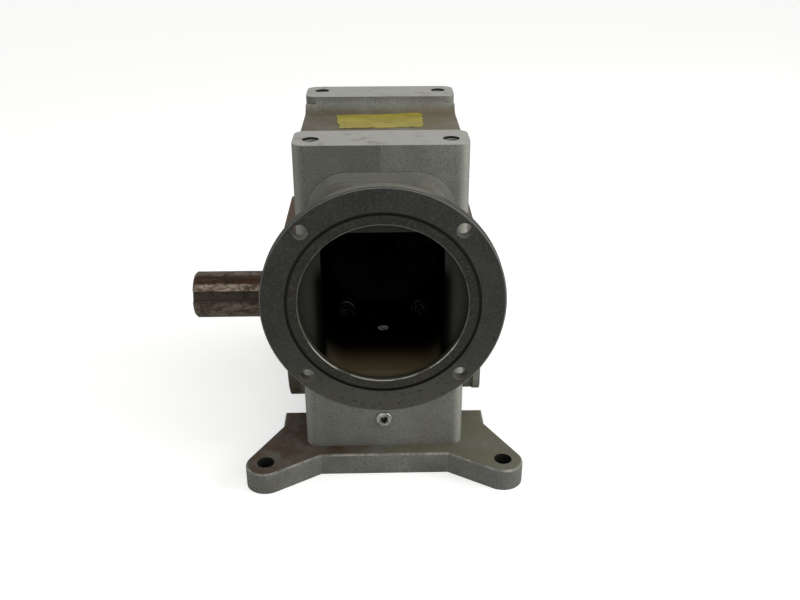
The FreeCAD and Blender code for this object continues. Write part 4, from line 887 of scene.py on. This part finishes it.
@dataclass
class ScrewSet:
    """Screws of one size that hold one cover, with their heads outward.

    The spots are the screws' places in X and Z, and seat is where the heads stand
    along Y. The proportions are shares of the diameter, apart from upper_part, the
    share of a head's height above which its rim is rounded, and land_divisor, by
    which the width beside the key is divided to give the land round the socket.
    """

    name: str
    node: str
    side: Side
    seat: float
    tip: float
    spots: Sequence[Span]
    diameter: float
    finish: Finish = SCREW_STEEL
    socket: bool = False
    head_width: float = 1.6
    hex_height: float = 0.65
    key_width: float = 0.78
    key_floor: float = 0.4
    chamfer: float = 0.07
    upper_part: float = 0.9
    land_divisor: float = 2.6
    tip_width: float = 0.92

    def build(self) -> None:
        """Model the set as one piece in place of its CAD node."""
        whole = bmesh.new()
        for x, z in self.spots:
            one = self.screw()
            seating = Matrix.Translation(Vector((x, self.seat, z)) * MM) @ turned_to(self.side)
            bmesh.ops.transform(one, verts=one.verts, matrix=seating)
            joined = bpy.data.meshes.new("screw_copy")
            one.to_mesh(joined)
            one.free()
            whole.from_mesh(joined)
            bpy.data.meshes.remove(joined)
        settled(self.name, whole, self.finish, Body.HOUSING, (self.node,))

    def screw(self) -> BMesh:
        """Model one screw, in metres, with the underside of its head at the origin."""
        size = self.diameter * MM
        radius = size * self.head_width / 2
        mesh = bmesh.new()
        if self.socket:
            head_height = size
            add_bar(mesh, 36, radius, radius, 0.0, head_height)
        else:
            head_height = size * self.hex_height
            corner = radius * 2 / math.sqrt(3)
            add_bar(mesh, 6, corner, corner, 0.0, head_height)
        round_top(mesh, head_height * self.upper_part, size * self.chamfer, 2)
        if self.socket:
            land = size * (self.head_width - self.key_width) / self.land_divisor
            sink_hexagon(mesh, land, size * self.key_width, head_height - size * self.key_floor)
        add_bar(mesh, 24, size * self.tip_width / 2, size / 2, -abs(self.tip - self.seat) * MM, 0.0)
        return mesh


@dataclass
class TappedHoles:
    """The thread that shows in the mouths of the pads' tapped holes; its drops are shares of the pitch."""

    name: str = "pad_hole_threads"
    start: float = 279.7
    spacing_x: float = 104.65
    spacing_y: float = 163.1
    wall_radius: float = 6.2
    pitch: float = 1.95
    depth: float = 16.0
    crest: float = 0.85
    crest_drop: float = 0.45
    foot_drop: float = 0.9
    steps_a_turn: int = 24

    def build(self) -> None:
        """Wind one ridge down each hole's wall."""
        whole = bmesh.new()
        for i, j in QUARTERS:
            self.wind(whole, Vector((self.spacing_x / 2 * i, self.spacing_y / 2 * j, self.start)) * MM)
        settled(self.name, whole, TURNED_IRON, Body.HOUSING)

    def wind(self, mesh: BMesh, top: Vector) -> None:
        """Wind one closed three-sided ridge down from a point on the hole's axis, given in metres."""
        wall = self.wall_radius
        profile = ((wall, 0.0), (wall - self.crest, -self.pitch * self.crest_drop),
                   (wall, -self.pitch * self.foot_drop))
        rows = []
        for step in range(self.steps_a_turn * int(self.depth / self.pitch) + 1):
            angle, drop = 2 * math.pi * step / self.steps_a_turn, self.pitch * step / self.steps_a_turn
            places = [Vector((r * math.cos(angle), r * math.sin(angle), z - drop)) for r, z in profile]
            rows.append([mesh.verts.new(top + place * MM) for place in places])
        for row, following in zip(rows, rows[1:]):
            for k in range(3):
                mesh.faces.new((row[k], row[(k + 1) % 3], following[(k + 1) % 3], following[k]))
        mesh.faces.new(rows[0])
        mesh.faces.new(rows[-1])


@dataclass
class PipePlugs:
    """Socket head pipe plugs screwed into the block, each with a rounded rim."""

    half_depth: float = 98.5
    diameter: float = 13.66
    stand_out: float = 1.6
    length: float = 11.0
    key_width: float = 6.35
    key_depth: float = 5.1
    chamfer: float = 0.9
    corner_room: float = 1.1
    low: float = 45.9
    level: float = 117.05

    def build(self) -> None:
        """Model the plugs in place of their CAD nodes."""
        plugs = (("drain_plug", Side.FRONT, self.low), ("rear_drain_plug", Side.BACK, self.low),
                 ("oil_level_plug", Side.BACK, self.level))
        for node, side, height in plugs:
            mesh = self.plug()
            spot = Vector((0.0, (self.half_depth + self.stand_out) * side.value, height)) * MM
            bmesh.ops.transform(mesh, verts=mesh.verts, matrix=Matrix.Translation(spot) @ turned_to(side))
            settled(node + "_fine", mesh, ZINC_PLATE, Body.HOUSING, (node,))

    def plug(self) -> BMesh:
        """Model one plug, in metres, with the middle of its face at the origin and the socket open to +Z."""
        mesh = bmesh.new()
        radius, key_width = self.diameter / 2 * MM, self.key_width * MM
        add_bar(mesh, 48, radius, radius, -(self.length + self.stand_out) * MM, 0.0)
        round_top(mesh, -1e-6, self.chamfer * MM, 3)
        land = radius - self.chamfer * MM - key_width / math.sqrt(3) * self.corner_room
        sink_hexagon(mesh, land, key_width, self.key_depth * MM)
        return mesh


@dataclass
class Label:
    """The plain yellow label stuck across the saddle between the top pads.

    Its edges are torn and a little lifted; inner_lift is the share that the rest has of their lift.
    """

    name: str = "worn_label"
    floor: float = 267.62
    corners: tuple[Span, ...] = ((-39.1, 43.6), (-33.5, -0.5), (35.0, 2.3), (36.7, 48.4))
    hollow_round: float = 12.0
    hollow_end: float = 57.3
    thickness: float = 0.14
    tear: float = 0.9
    crease: float = 0.25
    lift: float = 0.35
    inner_lift: float = 0.35
    smoothing: float = 0.5
    cuts: int = 15

    def build(self) -> None:
        """Lay a creased, torn sheet on the saddle's floor."""
        draw = random.Random(7)
        mesh = bmesh.new()
        mesh.faces.new([mesh.verts.new((x * MM, y * MM, self.floor * MM)) for x, y in self.corners])
        bmesh.ops.subdivide_edges(mesh, edges=mesh.edges, cuts=self.cuts, use_grid_fill=True)
        for vertex in mesh.verts:
            rim = vertex.is_boundary
            shift = (self.tear if rim else self.crease) * MM
            vertex.co.x += draw.uniform(-shift, shift)
            vertex.co.y += draw.uniform(-shift, shift)
            vertex.co.z += draw.uniform(0, self.lift if rim else self.lift * self.inner_lift) * MM
            vertex.co.z += self.rise(vertex.co.y / MM) * MM
        bmesh.ops.smooth_vert(mesh, verts=[v for v in mesh.verts if not v.is_boundary], factor=self.smoothing,
                              use_axis_x=True, use_axis_y=True, use_axis_z=True)
        bmesh.ops.recalc_face_normals(mesh, faces=mesh.faces)
        bmesh.ops.solidify(mesh, geom=mesh.faces[:], thickness=-self.thickness * MM)
        settled(self.name, mesh, LABEL_YELLOW, Body.HOUSING, smooth_degrees=60.0)

    def rise(self, along: float) -> float:
        """Give how far the saddle's round foot lifts the label at a place along Y."""
        past = max(0.0, along - (self.hollow_end - self.hollow_round))
        return self.hollow_round - math.sqrt(self.hollow_round ** 2 - past ** 2)


@dataclass
class Castings:
    """The block, its covers and feet, with their screws, gaskets, plugs, threads and label."""

    worm_height: float = 199.6
    end_cap_circle: float = 72.0
    adapter_spacing_x: float = 56.0
    adapter_spacing_z: float = 82.0

    def build(self, nodes: dict[str, Object]) -> None:
        """Dress the castings and add what is fixed to them."""
        dress({
            HOUSING_IRON: ("gear_housing", "worm_end_cap", "closed_side_plate"),
            COVER_IRON: ("output_side_cover",),
            FOOT_IRON: ("front_foot", "rear_foot"),
            FLANGE_IRON: ("motor_flange_adapter",),
            # The parts deep in the neck are painted black as shade.
            SHADED_IRON: ("input_seal_cap", "input_oil_seal", "adapter_gasket", "input_cap_gasket",
                          "input_cap_screws"),
            GASKET_FIBRE: ("output_cover_gasket",),
            SHIM_BRASS: ("worm_end_cap_shims", "closed_side_shims"),
            SEAL_RUBBER: ("output_oil_seal",),
            ZINC_PLATE: ("breather",),
            # The drain plug in the neck has a painted highlight's pale colour.
            PLUG_HIGHLIGHT_WHITE: ("adapter_drain_plug",),
            SCREW_STEEL: ("foot_bolts", "foot_lock_washers", "output_cover_screws", "closed_side_screws"),
        }, nodes)
        for screws in self.screw_sets():
            screws.build()
        PipePlugs().build()
        TappedHoles().build()
        Label().build()

    def screw_sets(self) -> tuple[ScrewSet, ...]:
        """List the screws of the worm's two covers, one set for each."""
        square = self.end_cap_circle * math.sqrt(0.5)
        return (
            ScrewSet("end_cap_hex_screws", "worm_end_cap_screws", Side.BACK, 104.0, 86.5,
                     self.around_worm(square, square), 6.0),
            # The adapter's socket screws are painted black as shade, with painted glints on their edges.
            ScrewSet("adapter_socket_screws", "adapter_screws", Side.FRONT, -111.0, -82.5,
                     self.around_worm(self.adapter_spacing_x, self.adapter_spacing_z), 8.0, SHADED_STEEL,
                     socket=True),
        )

    def around_worm(self, spacing_x: float, spacing_z: float) -> list[Span]:
        """Give the X and Z of the four corners of a rectangle round the worm's axis."""
        return [(spacing_x / 2 * i, self.worm_height + spacing_z / 2 * j) for i, j in QUARTERS]


@dataclass
class WormTrain:
    """The worm with its bearings."""

    def build(self, nodes: dict[str, Object]) -> None:
        """Dress the worm shaft and its bearings."""
        dress({
            WORM_STEEL: ("worm_shaft",),
            GROUND_STEEL: ("worm_front_bearing_cup", "worm_rear_bearing_cup", "worm_front_bearing_cone",
                           "worm_rear_bearing_cone", "worm_bearing_rollers"),
            PRESSED_STEEL: ("worm_bearing_cages",),
        }, nodes)


@dataclass
class OutputTrain:
    """The output shaft with the bronze gear and its bearings."""

    def build(self, nodes: dict[str, Object]) -> None:
        """Dress the output shaft, the gear and the bearings."""
        dress({
            SHAFT_STEEL: ("output_shaft",),
            HOBBED_BRONZE: ("bronze_worm_gear",),
            TURNED_IRON: ("gear_hub",),
            WORM_STEEL: ("gear_key", "gear_spacer"),
            GROUND_STEEL: ("output_left_bearing_cup", "output_right_bearing_cup", "output_left_bearing_cone",
                           "output_right_bearing_cone", "output_bearing_rollers"),
            PRESSED_STEEL: ("output_bearing_cages",),
        }, nodes)


@dataclass(frozen=True)
class Lamp:
    """One soft square lamp that faces the reducer: its place and side in metres and its power in watts."""

    name: str
    spot: Triple
    size: float
    power: float
    aim: Triple = (0.0, 0.0, 0.14)

    def build(self) -> None:
        """Hang the lamp."""
        data = bpy.data.lights.new(self.name, "AREA")
        data.size = self.size
        data.energy = self.power
        lamp = add_object(self.name, data)
        lamp.location = self.spot
        lamp.rotation_euler = (Vector(self.aim) - Vector(self.spot)).to_track_quat("-Z", "Y").to_euler()


@dataclass
class Studio:
    """The camera at the photograph's viewpoint, a pale floor and soft light.

    The floor's size is in metres, and the angles are in degrees.
    """

    camera_at: Triple = (-1.468, -732.792, 459.995)
    focal_pixels: float = 895.218
    sensor_width: float = 36.0
    pitch: float = 25.590
    yaw: float = 1.353
    roll: float = -0.105
    floor_size: float = 12.0
    floor_glow: float = 0.5
    sky: float = 0.5
    lamps: tuple[Lamp, ...] = (Lamp("key_light", (0.3, -1.0, 1.25), 1.3, 8.0),
                               Lamp("side_light", (1.4, -0.35, 0.7), 0.9, 13.0))

    def build(self) -> None:
        """Set the camera, the floor, the world and the lamps."""
        self.add_camera()
        self.add_floor()
        self.add_world()
        for lamp in self.lamps:
            lamp.build()
        bpy.context.scene.view_settings.view_transform = "Standard"

    def add_camera(self) -> None:
        """Stand the camera where the photograph was taken from."""
        pitch, yaw, roll = (math.radians(a) for a in (self.pitch, self.yaw, self.roll))
        turn = (Matrix.Rotation(-yaw, 4, "Z") @ Matrix.Rotation(math.pi / 2 - pitch, 4, "X")
                @ Matrix.Rotation(roll, 4, "Z"))
        data = bpy.data.cameras.new("photo_camera")
        data.sensor_fit = "HORIZONTAL"
        data.sensor_width = self.sensor_width
        data.lens = self.sensor_width * self.focal_pixels / PHOTO_WIDTH
        data.clip_start = 0.01
        camera = add_object("photo_camera", data)
        camera.matrix_world = Matrix.Translation(Vector(self.camera_at) * MM) @ turn
        bpy.context.scene.camera = camera

    def add_floor(self) -> None:
        """Lay a plain pale floor that the camera sees as white outside the shadow."""
        mesh = bmesh.new()
        bmesh.ops.create_grid(mesh, x_segments=1, y_segments=1, size=self.floor_size / 2)
        data = bpy.data.meshes.new("floor")
        mesh.to_mesh(data)
        mesh.free()
        material = bpy.data.materials.new("studio_floor_matt_white")
        paint = Paint.on(material)
        seen = paint.add("LightPath").outputs["Is Camera Ray"]
        shader = paint.add("BsdfPrincipled", {
            "Base Color": "#e6e6e4", "Roughness": 0.9, "Emission Color": "#ffffff",
            "Emission Strength": paint.times(seen, self.floor_glow)})
        paint.add("OutputMaterial", {"Surface": shader})
        data.materials.append(material)
        floor = add_object("floor", data)

    def add_world(self) -> None:
        """Light the scene evenly from all round, with a white backdrop for the camera and for reflections."""
        world = bpy.data.worlds.new("studio_world")
        paint = Paint.on(world)
        rays = paint.add("LightPath").outputs
        shown = rays["Is Camera Ray"]
        for name in ("Is Glossy Ray", "Is Transmission Ray"):
            shown = paint.either(shown, rays[name])
        strength = paint.ramp(shown, 0.0, 1.0, self.sky, 1.0)
        background = paint.add("Background", {"Color": "#ffffff", "Strength": strength})
        paint.add("OutputWorld", {"Surface": background})
        bpy.context.scene.world = world


def main() -> None:
    """Build the reducer's looks in order."""
    logging.basicConfig(level=logging.INFO, format="%(message)s")
    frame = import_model()
    Castings().build(frame["nodes"])
    WormTrain().build(frame["nodes"])
    OutputTrain().build(frame["nodes"])
    Studio().build()


if __name__ == "__main__":
    main()
